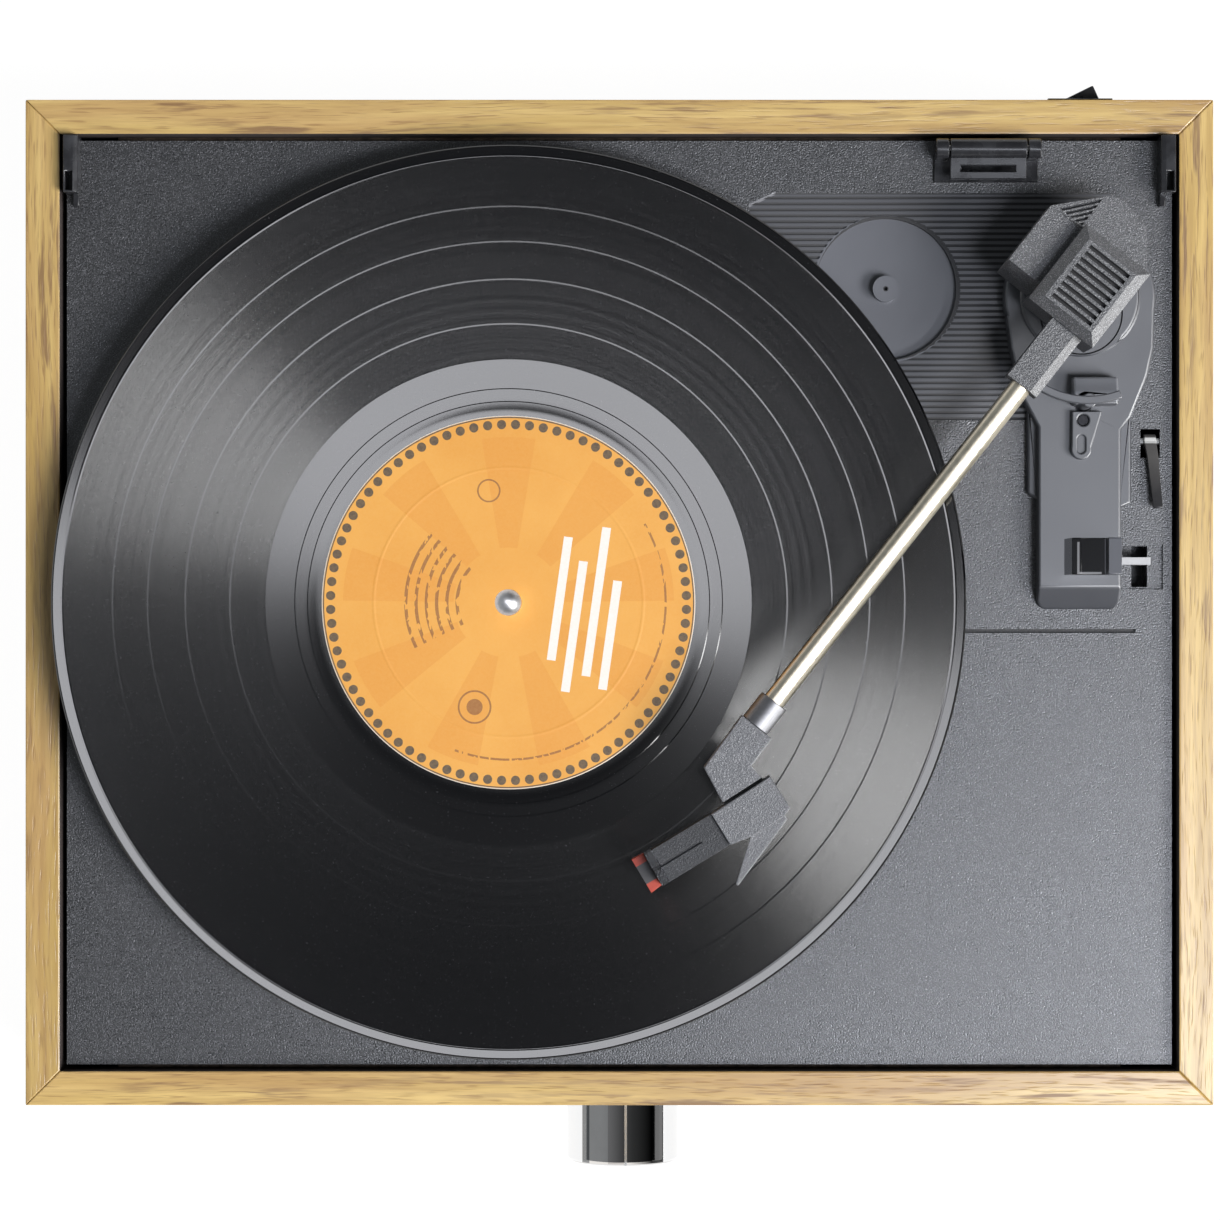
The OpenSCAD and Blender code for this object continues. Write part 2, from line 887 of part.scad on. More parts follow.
module speed_slider() {
    tab_w = 2;
    color(white_colour) {
        translate([slider_x - slider_slot_w/2 + swing_gap, slider_y - tab_w/2, deck_bottom - 7])
            cube([slider_slot_w - 2*swing_gap, tab_w, base_top + 1 - deck_bottom + 8]);
        translate([137, slider_y - tab_w/2, base_top + 0.6])
            cube([slider_x - 137, tab_w, 1.4]);
    }
}

module cover_socket() {
    socket_w = 4;
    socket_length = 15.8;
    socket_top = rim_h + 4;
    bevel_w = 1.3;
    bevel_h = 0.6;
    well = [2, 5.2, 6];
    foot = [1.6, 3.4, 4];
    difference() {
        translate([0, inner_y - 0.6 - socket_length, 0])
            rotate([90, 0, 0])
                mirror([0, 0, 1])
                    linear_extrude(socket_length)
                        polygon([
                            [deck_x, deck_z], [deck_x, socket_top], [deck_x - socket_w + bevel_w, socket_top],
                            [deck_x - socket_w, socket_top - bevel_h], [deck_x - socket_w, deck_z]
                        ]);
        translate([deck_x - well[0] - 0.5, inner_y - socket_length, socket_top - well[2]])
            cube([well[0], well[1], well[2] + 1]);
    }
    translate([deck_x - socket_w + 0.2, inner_y - socket_length - 0.6 - foot[1], deck_z])
        cube([foot[0], foot[1] + 0.5, foot[2]]);
}

module left_cover_socket() {
    color(black_colour)
        mirror([1, 0, 0])
            cover_socket();
}

module right_cover_socket() {
    color(black_colour)
        cover_socket();
}

module hinge_base() {
    color(black_colour)
    difference() {
        union() {
            translate([hinge_x - hinge_half, hinge_y - 8.6, deck_z])
                cube([2*hinge_half, 10.8, 1.6]);
            for (s = [-1, 1])
                translate([hinge_x + s*(hinge_half - knuckle_w/2) - knuckle_w/2, hinge_y, 0]) {
                    translate([0, -barrel_r, deck_z])
                        cube([knuckle_w, 2*barrel_r, hinge_z - deck_z]);
                    translate([0, 0, hinge_z])
                        bar_x(barrel_r, 0, knuckle_w);
                }
        }
        translate([hinge_x, hinge_y, hinge_z])
            bar_x(pin_r + seat_gap, -hinge_half - 1, 2*hinge_half + 2);
    }
}

module hinge_pin() {
    color(steel_colour)
    translate([hinge_x, hinge_y, hinge_z])
        bar_x(pin_r, -hinge_half + 0.5, 2*hinge_half - 1);
}

module hinge_leaf() {
    half = hinge_half - knuckle_w - swing_gap;
    color(black_colour)
    translate([hinge_x, hinge_y, hinge_z])
        difference() {
            union() {
                bar_x(barrel_r, -half, 2*half);
                translate([-half, 0, 0])
                    along_x(2*half)
                        polygon([[-1.2, 0.4], [-8.4, -0.5], [-8.4, -2.4], [-1.2, -1.8]]);
            }
            bar_x(pin_r + run_gap, -hinge_half, 2*hinge_half);
            translate([-7.5, -6.4, -5])
                cube([15, 1.7, 10]);
        }
}

module platter() {
    r = platter_d/2;
    ring_r = ring_d/2;
    plate_z = platter_top - platter_plate;
    hub_z = deck_z + bush_flange_t + swing_gap;
    color(steel_colour)
    translate([spindle_x, 0, 0])
        rotate_extrude()
            polygon([
                [spindle_d/2 + seat_gap, hub_z], [hub_r, hub_z], [hub_r, plate_z],
                [ring_r - skirt_t, plate_z], [ring_r - skirt_t, platter_bottom],
                [ring_r, platter_bottom], [ring_r, plate_z],
                [r - skirt_t, plate_z], [r - skirt_t, platter_bottom], [r, platter_bottom],
                [r, platter_top - 0.6], [r - 0.6, platter_top], [spindle_d/2 + seat_gap, platter_top]
            ]);
}

module platter_mat() {
    color(felt_colour)
    translate([spindle_x, 0, platter_top])
        difference() {
            cylinder(r = platter_d/2 - 4, h = mat_t);
            translate([0, 0, -1])
                cylinder(r = spindle_d/2 + seat_gap, h = mat_t + 2);
        }
}

module spindle() {
    r = spindle_d/2;
    relief_r = r - spindle_relief;
    free_z = label_top + 0.1;
    tip = record_z + record_t + 10;
    bottom = deck_z - bush_depth + 2 + run_gap;
    color(chrome_colour)
    translate([spindle_x, 0, 0])
        rotate_extrude()
            polygon([
                [0, bottom], [shaft_r - 0.5, bottom], [shaft_r, bottom + 0.5],
                [shaft_r, deck_z + bush_flange_t + 0.6], [r, deck_z + bush_flange_t + 0.6],
                [r, free_z - relief_h], [relief_r, free_z - relief_h], [relief_r, free_z], [r, free_z],
                [r, tip - 4], [r*0.92, tip - 2.4], [r*0.7, tip - 1], [r*0.38, tip - 0.2], [0, tip]
            ]);
}

module vinyl_record() {
    r = record_d/2;
    hole = spindle_d/2 + seat_gap;
    color(vinyl_colour)
    translate([spindle_x, 0, record_z])
        rotate_extrude()
            polygon([
                [hole, 0], [r - 0.6, 0], [r, 0.5], [r, 1.2], [r - 0.7, record_t + 0.4],
                [r - 1.8, record_t + 0.4], [r - 2.7, record_t], [label_d/2 + 5, record_t],
                [label_d/2 + 2, record_t + 0.2], [hole, record_t + 0.2]
            ]);
}

module record_label() {
    color(label_colour)
    translate([spindle_x, 0, record_z + record_t + 0.2])
        difference() {
            cylinder(r = label_d/2, h = 0.15);
            translate([0, 0, -1])
                cylinder(r = spindle_d/2 + seat_gap, h = 2);
        }
}

module motor_pulley() {
    r = pulley_d/2;
    color(brass_colour)
    translate([motor_x, motor_y, 0])
        rotate_extrude()
            polygon([
                [0, deck_bottom - 11], [1.5, deck_bottom - 11], [1.5, deck_z + 2.4], [r + 1.2, deck_z + 2.4],
                [r + 1.2, deck_z + 3.2], [r, deck_z + 3.2], [r, deck_z + 8.2], [r + 1.2, deck_z + 8.2],
                [r + 1.2, deck_z + 9], [0, deck_z + 9]
            ]);
}

module arm_turret() {
    post = [9, 8];
    color(grey_colour)
    on_arm()
        difference() {
            union() {
                translate([0, 0, dish_floor + swing_gap])
                    cylinder(r = turret_r, h = base_top + disc_h - dish_floor - swing_gap);
                translate([0, 0, deck_z - 11.5])
                    cylinder(r = shaft_r, h = 18);
                translate([-post[0]/2, -post[1]/2, dish_floor + 2])
                    cube([post[0], post[1], pitch_z + 4 - dish_floor - 2]);
            }
            translate([0, 0, pitch_z])
                bar_y(1.5 + run_gap, -8, 16);
        }
}

// Bevelled block: a length profile and a width profile crossed
module bevelled_block(u, v, z, bevel, bevel_h) {
    intersection() {
        along_y(v[0], v[1] - v[0])
            polygon([
                [u[0], z[0]], [u[1], z[0]], [u[1], z[1] - bevel_h], [u[1] - bevel, z[1]],
                [u[0] + bevel, z[1]], [u[0], z[1] - bevel_h]
            ]);
        translate([u[0], 0, 0])
            along_x(u[1] - u[0])
                polygon([
                    [v[0], z[0]], [v[1], z[0]], [v[1], z[1] - bevel_h], [v[1] - bevel, z[1]],
                    [v[0] + bevel, z[1]], [v[0], z[1] - bevel_h]
                ]);
    }
}

module arm_housing() {
    bottom = pitch_z - 10;
    block_u = [-16.3, 8.9];
    block_v = [-14.9, 6.9];
    block_top = arm_z + 8;
    wing_top = arm_z + 1;
    tail_top = arm_z - 3;
    recess = [[-16.4, -22.8], [-16.4, -15.4], [-25.4, -15.4]];
    recess_depth = 1.4;
    recess_turn = atan2(recess[2][1] - recess[0][1], recess[2][0] - recess[0][0]);
    slot_pitch = 2.03;
    slot_w = 0.95;
    slot_v = [-10.5, 2.7];
    slot_depth = 1.5;
    color(black_colour)
    on_arm()
        difference() {
            union() {
                bevelled_block(block_u, block_v, [bottom, block_top], 2.9, 2.4);
                along_y(-25.4, 11)
                    polygon([[-15, bottom], [6.2, bottom], [6.2, wing_top - 5], [3.5, wing_top], [-15, wing_top]]);
                translate([0, 0, bottom])
                    linear_extrude(tail_top - bottom)
                        polygon([
                            [-27.9, -14], [-28.9, -10.6], [-26.6, -1.2], [-19.2, 4.7], [-15.5, 6.9], [-10, 6.9],
                            [-10, -25.4], [-15.4, -25.4]
                        ]);
                translate([8, 0, 0])
                    along_x(sleeve_end - 8)
                        polygon([
                            [-6.6, sleeve_bottom], [3.4, sleeve_bottom], [3.4, arm_z + 2], [1, arm_z + 4],
                            [-6.6, arm_z + 4]
                        ]);
            }
            for (i = [-4 : 4])
                translate([-3.7 + i*slot_pitch - slot_w/2, slot_v[0], block_top - slot_depth])
                    cube([slot_w, slot_v[1] - slot_v[0], slot_depth + 1]);
            translate([0, 0, tail_top - recess_depth])
                linear_extrude(recess_depth + 1)
                    difference() {
                        polygon(recess);
                        for (i = [1 : 4])
                            translate(recess[0])
                                rotate([0, 0, recess_turn])
                                    translate([-2, -i*1.25])
                                        square([16, 0.6]);
                    }
            translate([-5.5, -5, bottom - 1])
                cube([11, 10, pitch_z + 5 - bottom + 1]);
            translate([0, 0, pitch_z])
                bar_y(1.5 + seat_gap, -12, 30);
            translate([-25, -13, bottom - 1])
                cube([8, 9, 10]);
            translate([sleeve_end - 8, tube_v, arm_z])
                bar_x(tube_r + seat_gap, 0, 10);
        }
}

module pivot_pin() {
    color(steel_colour)
    on_arm()
        translate([0, 0, pitch_z])
            bar_y(1.5, -11.9, 18.6);
}

module counterweight() {
    color(steel_colour)
    on_arm()
        translate([-25 + seat_gap, -13 + seat_gap, pitch_z - 9.5])
            cube([8 - 2*seat_gap, 9 - 2*seat_gap, 8.5 - seat_gap]);
}

module arm_tube() {
    color(steel_colour)
    on_arm()
        translate([0, tube_v, arm_z])
            difference() {
                bar_x(tube_r, sleeve_end - 7.9, collar_start + 6 - sleeve_end + 7.9);
                bar_x(tube_r - tube_wall, sleeve_end - 9, collar_start + 9 - sleeve_end + 9);
            }
}

module tube_collar() {
    color(steel_colour)
    on_arm()
        translate([0, tube_v, arm_z])
            difference() {
                bar_x(4.15, collar_start, collar_end - collar_start);
                bar_x(tube_r + seat_gap, collar_start - 1, 7.2);
            }
}

module headshell() {
    seam_w = 0.9;
    color(black_colour)
    on_arm() {
        difference() {
            translate([0, 0, arm_z - 4.4])
                linear_extrude(8)
                    polygon([
                        [collar_end, -6.2], [collar_end, 4], [153.5, 4.1], [154.6, 10.4], [167, 6.4], [161.7, -5.6]
                    ]);
            translate([152.5, 9.8, arm_z - 1])
                rotate([0, 0, -19.2])
                    translate([-1, -seam_w, 0])
                        cube([21, seam_w, 6]);
        }
        translate([0, 0, arm_z - 6])
            linear_extrude(10)
                polygon([[152.5, 9.8], [155.9, 19.3], [158.6, 19.4], [166.9, 16.7], [173.7, 12.8], [170.3, 3.6]]);
        translate([0, 0, arm_z - 1])
            linear_extrude(1.4)
                polygon([[158, 18.6], [158.8, 20.8], [181.1, 21.4], [181.2, 20.7], [168.2, 15.8]]);
    }
}

module cartridge() {
    color(black_colour)
    on_arm()
        difference() {
            translate([0, 0, arm_z - 8])
                linear_extrude(10.6)
                    polygon([[170.3, 3.6], [173.7, 12.8], [193.7, 5.3], [190.1, -3.9]]);
            translate([191.9, 0.7, arm_z + 2])
                rotate([0, 0, 159.4])
                    translate([-2, -0.3, 0])
                        cube([17, 0.6, 2]);
        }
}

module stylus() {
    tip_drop = 9.6;
    color(red_colour)
    on_arm() {
        translate([0, 0, arm_z - 8.8])
            linear_extrude(5)
                polygon([[190.1, -3.9], [193.7, 5.3], [197.2, 4.4], [193.4, -5.4]]);
        translate([0, 0, arm_z - 8.8])
            linear_extrude(0.75)
                polygon([[186, -1], [188.8, 6], [194, 4.4], [190.9, -3.2]]);
        translate([191.9, 1, arm_z - tip_drop])
            cylinder(r1 = 0.15, r2 = 0.6, h = 1);
    }
}

module lift_bar() {
    bar_w = 2.2;
    bar_h = 3.4;
    color(black_colour) {
        intersection() {
            translate([pivot_x, pivot_y, bar_top - bar_h])
                difference() {
                    cylinder(r = lift_r + bar_w/2, h = bar_h);
                    translate([0, 0, -1])
                        cylinder(r = lift_r - bar_w/2, h = bar_h + 2);
                }
            translate([pivot_x, pivot_y, bar_top - bar_h - 1])
                linear_extrude(bar_h + 2)
                    polygon([[0, 0], [40*cos(233), 40*sin(233)], [40*cos(262), 40*sin(262)], [40*cos(291), 40*sin(291)]]);
        }
        translate([lift_x, lift_y, deck_z + 4])
            cylinder(r = lift_pin_r, h = bar_top - bar_h - deck_z - 4 + 1);
    }
}

module cue_lever() {
    color(black_colour)
    translate([lever_x, lever_y, lever_z]) {
        bar_x(2.1, -lever_w/2, lever_w);
        bar_x(trunnion_r, -lever_slot_w/2 - 1.4, lever_slot_w + 2.8);
        intersection() {
            translate([-lever_w, 0, 0])
                along_x(2*lever_w)
                    polygon([[0.8, 1.6], [-0.8, -1.4], [-4, 2.5], [-18.6, 4.6], [-18.6, 6.4], [-4.4, 5.2]]);
            translate([0, 0, -5])
                linear_extrude(20)
                    polygon([[-lever_w/2, 3], [lever_w/2, 3], [lever_w/2, 0], [3.1, -20], [0.6, -20], [-lever_w/2, 0]]);
        }
    }
}

// Puts a node where the box of the whole object is centred on the origin
module placed() {
    translate([0, shift_y, 0])
        children();
}

placed() front_board();
placed() back_board();
placed() left_board();
placed() right_board();
placed() bottom_panel();
placed() panel_screws();
placed() rubber_feet();
placed() deck_battens();
placed() deck_screws();
placed() deck_plate();
placed() main_bush();
placed() motor_can();
placed() motor_screws();
placed() drive_belt();
placed() left_speaker();
placed() left_cone();
placed() right_speaker();
placed() right_cone();
placed() speaker_screws();
placed() amplifier_board();
placed() board_posts();
placed() volume_pot();
placed() pot_nut();
placed() volume_knob();
placed() jack_plate();
placed() left_jack();
placed() right_jack();
placed() power_inlet();
placed() switch_housing();
placed() power_rocker();
placed() arm_base();
placed() base_screws();
placed() lift_tongue();
placed() lift_screw();
placed() arm_rest();
placed() slider_body();
placed() speed_slider();
placed() left_cover_socket();
placed() right_cover_socket();
placed() hinge_base();
placed() hinge_pin();
placed() hinge_leaf();
placed() platter();
placed() platter_mat();
placed() spindle();
placed() vinyl_record();
placed() record_label();
placed() motor_pulley();
placed() arm_turret();
placed() arm_housing();
placed() pivot_pin();
placed() counterweight();
placed() arm_tube();
placed() tube_collar();
placed() headshell();
placed() cartridge();
placed() stylus();
placed() lift_bar();
placed() cue_lever();
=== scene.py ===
import math
from functools import partial, reduce

import bmesh
import bpy
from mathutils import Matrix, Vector


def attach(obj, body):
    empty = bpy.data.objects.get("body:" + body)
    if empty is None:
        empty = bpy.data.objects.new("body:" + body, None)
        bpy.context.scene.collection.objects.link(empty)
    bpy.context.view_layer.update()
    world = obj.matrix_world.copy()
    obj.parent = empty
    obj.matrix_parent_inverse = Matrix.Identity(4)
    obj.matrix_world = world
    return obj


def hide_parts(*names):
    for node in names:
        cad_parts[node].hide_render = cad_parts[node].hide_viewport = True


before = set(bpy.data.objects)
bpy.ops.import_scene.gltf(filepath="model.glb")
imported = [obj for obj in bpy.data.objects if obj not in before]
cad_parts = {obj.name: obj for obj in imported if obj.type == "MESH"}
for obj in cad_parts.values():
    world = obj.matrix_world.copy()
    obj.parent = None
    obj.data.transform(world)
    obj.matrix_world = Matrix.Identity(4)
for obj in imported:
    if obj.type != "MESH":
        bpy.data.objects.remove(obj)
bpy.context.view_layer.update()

# View. The player stands on a white sheet and is seen from straight above.
# The camera hangs a little over a metre above the rim, over the middle of the plinth.
MM = 0.001
VIEW_MIDDLE = (-2.6 * MM, 4.9 * MM)
VIEW_HEIGHT = 1288 * MM
VIEW_ANGLE = math.radians(15.864)

scene = bpy.context.scene
scene.view_settings.view_transform = "Standard"
camera_data = bpy.data.cameras.new("camera")
camera_data.lens_unit = "FOV"
camera_data.angle = VIEW_ANGLE
camera = bpy.data.objects.new("camera", camera_data)
camera.location = (*VIEW_MIDDLE, VIEW_HEIGHT)
scene.collection.objects.link(camera)
scene.camera = camera

# Light. A wide soft light comes from far off at the front right, with one soft box high and one low on that
# side. A bright panel hangs above the camera. The room is pale on the left and dark on the right.
KEY_HEADING = (-0.627, 0.3265, -0.707)
KEY_WIDTH = math.radians(27)
PANEL_TURN = math.radians(-10.6)
ROOM_COLOUR = (0.88, 0.94, 1.0, 1)
ROOM_DARK, ROOM_PALE = 0.045, 0.30


def aimed(name, kind, heading, power):
    """A lamp of the given kind that shines along a heading."""
    data = bpy.data.lights.new(name, kind)
    data.energy = power
    lamp = bpy.data.objects.new(name, data)
    lamp.rotation_euler = Vector(heading).to_track_quat("-Z", "Y").to_euler()
    scene.collection.objects.link(lamp)
    return lamp


def soft_box(name, place, target, size, power, colour=(1, 1, 1)):
    """A rectangular lamp aimed at a spot, in metres and watts."""
    lamp = aimed(name, "AREA", Vector(target) - Vector(place), power)
    lamp.location = place
    lamp.data.shape = "RECTANGLE"
    lamp.data.size, lamp.data.size_y = size
    lamp.data.color = colour
    return lamp


def put(tree, kind, inputs=None, **settings):
    """Adds a node, sets its options, and links or sets its inputs."""
    made = tree.nodes.new(kind)
    for name, value in settings.items():
        setattr(made, name, value)
    for key, value in (inputs or {}).items():
        if isinstance(value, bpy.types.NodeSocket):
            tree.links.new(value, made.inputs[key])
        else:
            made.inputs[key].default_value = value
    return made


key = aimed("front_right_key", "SUN", KEY_HEADING, power=3.7)
key.data.angle = KEY_WIDTH
upper = soft_box("front_right_top", place=(0.46, -0.32, 1.52), target=(0.05, -0.05, 0.08), size=(0.36, 0.36),
                 power=6.6, colour=(0.93, 0.97, 1.08))
kicker = soft_box("front_right_low", place=(0.92, -0.42, 0.22), target=(0.05, 0.0, 0.1), size=(0.50, 0.36),
                  power=6.5)
panel = soft_box("back_panel", place=(-0.02, 0.111, 1.62), target=(-0.02, 0.111, 0.0), size=(0.80, 0.235),
                 power=4.6, colour=(0.97, 0.98, 1.03))
panel.rotation_euler.z = PANEL_TURN

world = bpy.data.worlds.new("room")
scene.world = world
world.use_nodes = True
room = world.node_tree
toward = put(room, "ShaderNodeTexCoord").outputs["Generated"]
rightward = put(room, "ShaderNodeSeparateXYZ", {0: toward}).outputs[0]
wall = put(room, "ShaderNodeMapRange", {"Value": rightward, "From Min": 0.35, "From Max": -0.8,
                                        "To Min": ROOM_DARK, "To Max": ROOM_PALE},
           interpolation_type="SMOOTHSTEP").outputs[0]
room.nodes["Background"].inputs["Color"].default_value = ROOM_COLOUR
room.links.new(wall, room.nodes["Background"].inputs["Strength"])

# Floor. A round sheet of white paper, swept up into a low wall far from the player.
# It is bright to the camera and in mirrored light, and it keeps the shadow of the player.
SHEET_PROFILE = [(0, -0.05), (14000, -0.05), (14800, 100), (15000, 400), (15000, 2400)]
PAPER_GREY = (0.9, 0.9, 0.9, 1)
PAPER_GLOW = 1.1
GLOW_SHARE = 0.88


def turned(profile, centre, turns):
    """A solid turned about an upright axis, from (radius, height) points in mm."""
    shape = bmesh.new()
    rings = []
    for r, height in profile:
        ring = []
        for i in range(turns if r else 1):
            angle = 2 * math.pi * i / turns
            x, y = r * MM * math.cos(angle), r * MM * math.sin(angle)
            ring.append(shape.verts.new((x + centre[0], y + centre[1], height * MM)))
        rings.append(ring)
    for one, two in zip(rings, rings[1:]):
        for i in range(turns):
            j = (i + 1) % turns
            corners = [one[i % len(one)], one[j % len(one)], two[j % len(two)], two[i % len(two)]]
            unique = list(dict.fromkeys(corners))
            if len(unique) > 2:
                shape.faces.new(unique)
    bmesh.ops.recalc_face_normals(shape, faces=shape.faces)
    return shape


def placed(name, shape):
    """Makes a shape into an object of the scene."""
    mesh = bpy.data.meshes.new(name)
    shape.to_mesh(mesh)
    shape.free()
    piece = bpy.data.objects.new(name, mesh)
    scene.collection.objects.link(piece)
    return piece


def calc(tree, operation, a, b=0.0):
    return put(tree, "ShaderNodeMath", {0: a, 1: b}, operation=operation).outputs[0]


floor = placed("floor", turned(SHEET_PROFILE, (0, 0), 96))
paper_white = bpy.data.materials.new("floor_paper")
paper_white.use_nodes = True
sheet = paper_white.node_tree
sheet.nodes.remove(sheet.nodes["Principled BSDF"])
paths = put(sheet, "ShaderNodeLightPath").outputs
seen = calc(sheet, "MAXIMUM", paths["Is Camera Ray"], paths["Is Glossy Ray"])
seen = calc(sheet, "MAXIMUM", seen, paths["Is Transmission Ray"])
glowing = calc(sheet, "MULTIPLY", seen, GLOW_SHARE)
matt = put(sheet, "ShaderNodeBsdfDiffuse", {"Color": PAPER_GREY}).outputs[0]
glow = put(sheet, "ShaderNodeEmission", {"Color": (1, 1, 1, 1), "Strength": PAPER_GLOW}).outputs[0]
surface = put(sheet, "ShaderNodeMixShader", {0: glowing, 1: matt, 2: glow}).outputs[0]
sheet.links.new(surface, sheet.nodes["Material Output"].inputs["Surface"])
floor.data.materials.append(paper_white)

# Plinth. Four mitred boards of pressed fibre, wrapped in printed oak foil with the grain along each board.
# They are glued at the corners; their inner faces are coloured dark.
PLINTH_Y = 6.95 * MM
INNER_X, INNER_Y = 154.2 * MM, 129.1 * MM
SKIN = 0.05 * MM
CREASE = math.radians(32)
# The front and right boards have a lighter ground, a painted sheen from the lamps on that side; the back and
# left boards are a little darker.
BOARDS = (("front", 0, 1.12), ("back", 0, 0.96), ("left", 90, 0.97), ("right", 90, 1.12))
OAK_DEEP, OAK_PALE = (0.50, 0.33, 0.098), (0.69, 0.49, 0.19)
OAK_INNER_DARK = (0.05, 0.035, 0.03)
OAK_MARKS = (("Blush", 0.5, (0.44, 0.245, 0.105)), ("Fibres", 0.34, (0.31, 0.17, 0.062)),
             ("Streaks", 0.8, (0.19, 0.095, 0.036)), ("Pores", 0.5, (0.27, 0.145, 0.055)))


def product(tree, *values):
    return reduce(partial(calc, tree, "MULTIPLY"), values)


def total(tree, *values):
    return reduce(partial(calc, tree, "ADD"), values)


def remainder(tree, share):
    return calc(tree, "SUBTRACT", 1.0, share)


def vector(tree, operation, a, b=(0, 0, 0)):
    """Vector maths, which gives a number where the operation makes one."""
    made = put(tree, "ShaderNodeVectorMath", {0: a, 1: b}, operation=operation)
    return made.outputs["Value" if operation in ("DISTANCE", "DOT_PRODUCT", "LENGTH") else "Vector"]


def spread(tree, value, low, high, first=0.0, last=1.0):
    """Stretches a value so that low becomes the first value and high the last."""
    return put(tree, "ShaderNodeMapRange", {"Value": value, "From Min": low, "From Max": high,
                                            "To Min": first, "To Max": last}).outputs[0]


def within(tree, value, middle, half):
    """1 where a value lies less than half from the middle."""
    return calc(tree, "LESS_THAN", calc(tree, "ABSOLUTE", calc(tree, "SUBTRACT", value, middle)), half)


def tint(tree, amount, first, second):
    """Mixes two colours, each a socket or a linear RGB triple."""
    made = put(tree, "ShaderNodeMix", {"Factor": amount}, data_type="RGBA")
    for socket, colour in ((made.inputs[6], first), (made.inputs[7], second)):
        if isinstance(colour, bpy.types.NodeSocket):
            tree.links.new(colour, socket)
        else:
            socket.default_value = (*colour, 1)
    return made.outputs[2]


def noise(tree, place, fineness, detail=2.0, rough=0.5):
    """Clouds, so many to the metre; with three numbers they are drawn out unequally."""
    if isinstance(fineness, tuple):
        place = vector(tree, "MULTIPLY", place, fineness)
        fineness = 1.0
    return put(tree, "ShaderNodeTexNoise", {"Vector": place, "Scale": fineness, "Detail": detail,
                                            "Roughness": rough}).outputs["Fac"]


def place_of(tree):
    return put(tree, "ShaderNodeTexCoord").outputs["Object"]


def split(tree, place):
    return put(tree, "ShaderNodeSeparateXYZ", {0: place}).outputs


def flat(tree, x, y):
    return put(tree, "ShaderNodeCombineXYZ", {0: x, 1: y}).outputs[0]


def new_group(name, inputs, outputs):
    """A shader group with float or vector inputs, {name: default}, and float outputs."""
    tree = bpy.data.node_groups.new(name, "ShaderNodeTree")
    for socket, default in inputs.items():
        kind = "NodeSocketVector" if isinstance(default, tuple) else "NodeSocketFloat"
        tree.interface.new_socket(socket, in_out="INPUT", socket_type=kind).default_value = default
    for socket in outputs:
        tree.interface.new_socket(socket, in_out="OUTPUT", socket_type="NodeSocketFloat")
    return tree, tree.nodes.new("NodeGroupInput").outputs, tree.nodes.new("NodeGroupOutput").inputs


def oak_figure_group():
    tree, given, out = new_group("oak_figure", {"Along": (0, 0, 0)},
                                 ("Bands", "Streaks", "Pores", "Fibres", "Blush"))
    sway = noise(tree, given["Along"], (9, 40, 40))
    lean = put(tree, "ShaderNodeCombineXYZ", {"Y": product(tree, sway, 0.006),
                                              "Z": product(tree, sway, 0.004)}).outputs[0]
    bent = vector(tree, "ADD", given["Along"], lean)

    def mark(long, fine, low, high, detail, rough=0.5):
        """Clouds drawn out along the grain, cut off at two of their values."""
        return spread(tree, noise(tree, bent, (long, fine, fine), detail, rough), low, high)

    tree.links.new(mark(6, 170, 0.34, 0.66, 4), out["Bands"])
    patches = mark(14, 70, 0.40, 0.58, 2)
    tree.links.new(product(tree, mark(38, 560, 0.53, 0.64, 3, 0.6), patches), out["Streaks"])
    tree.links.new(mark(110, 1900, 0.58, 0.70, 1), out["Pores"])
    tree.links.new(mark(46, 1050, 0.38, 0.64, 3, 0.6), out["Fibres"])
    tree.links.new(mark(9, 120, 0.46, 0.66, 3), out["Blush"])
    return tree


OAK_FIGURE = oak_figure_group()


def new_material(name, **sockets):
    """A Principled material with its plain values on the shader's own sockets."""
    material = bpy.data.materials.new(name)
    material.use_nodes = True
    shader = material.node_tree.nodes["Principled BSDF"]
    for socket, value in sockets.items():
        shader.inputs[socket.replace("_", " ")].default_value = value
    return material, material.node_tree, shader


def drive(tree, shader, **sources):
    """Links colours and values that vary over the surface to the shader."""
    for socket, source in sources.items():
        tree.links.new(source, shader.inputs[socket.replace("_", " ")])


def relief(tree, shader, height, depth):
    """Bump of the given depth in mm."""
    bump = put(tree, "ShaderNodeBump", {"Height": height, "Strength": 1.0, "Distance": depth * MM})
    drive(tree, shader, Normal=bump.outputs[0])


def oak(name, turn, tone):
    """Oak foil with its figure turned about the upright, on a ground scaled lighter or darker; a lighter
    ground is painted sheen.
    """
    material, tree, shader = new_material(name, IOR=1.6, Specular_IOR_Level=0.7)
    place = place_of(tree)
    along = put(tree, "ShaderNodeMapping", {"Vector": place, "Rotation": (0, 0, turn)}).outputs[0]
    figure = put(tree, "ShaderNodeGroup", {"Along": along}, node_tree=OAK_FIGURE).outputs
    deep, pale = [tuple(part * tone for part in ground) for ground in (OAK_DEEP, OAK_PALE)]
    colour = tint(tree, figure["Bands"], deep, pale)
    for mark, strength, ink in OAK_MARKS:
        colour = tint(tree, product(tree, figure[mark], strength), colour, ink)
    x, y = split(tree, place)[:2]
    inner = product(tree, within(tree, x, 0.0, INNER_X + SKIN), within(tree, y, PLINTH_Y, INNER_Y + SKIN))
    gloss = total(tree, product(tree, figure["Streaks"], 0.12), 0.30)
    drive(tree, shader, Base_Color=tint(tree, inner, colour, OAK_INNER_DARK),
          Roughness=total(tree, gloss, product(tree, inner, 0.3)))
    relief(tree, shader, remainder(tree, figure["Pores"]), 0.03)
    return material


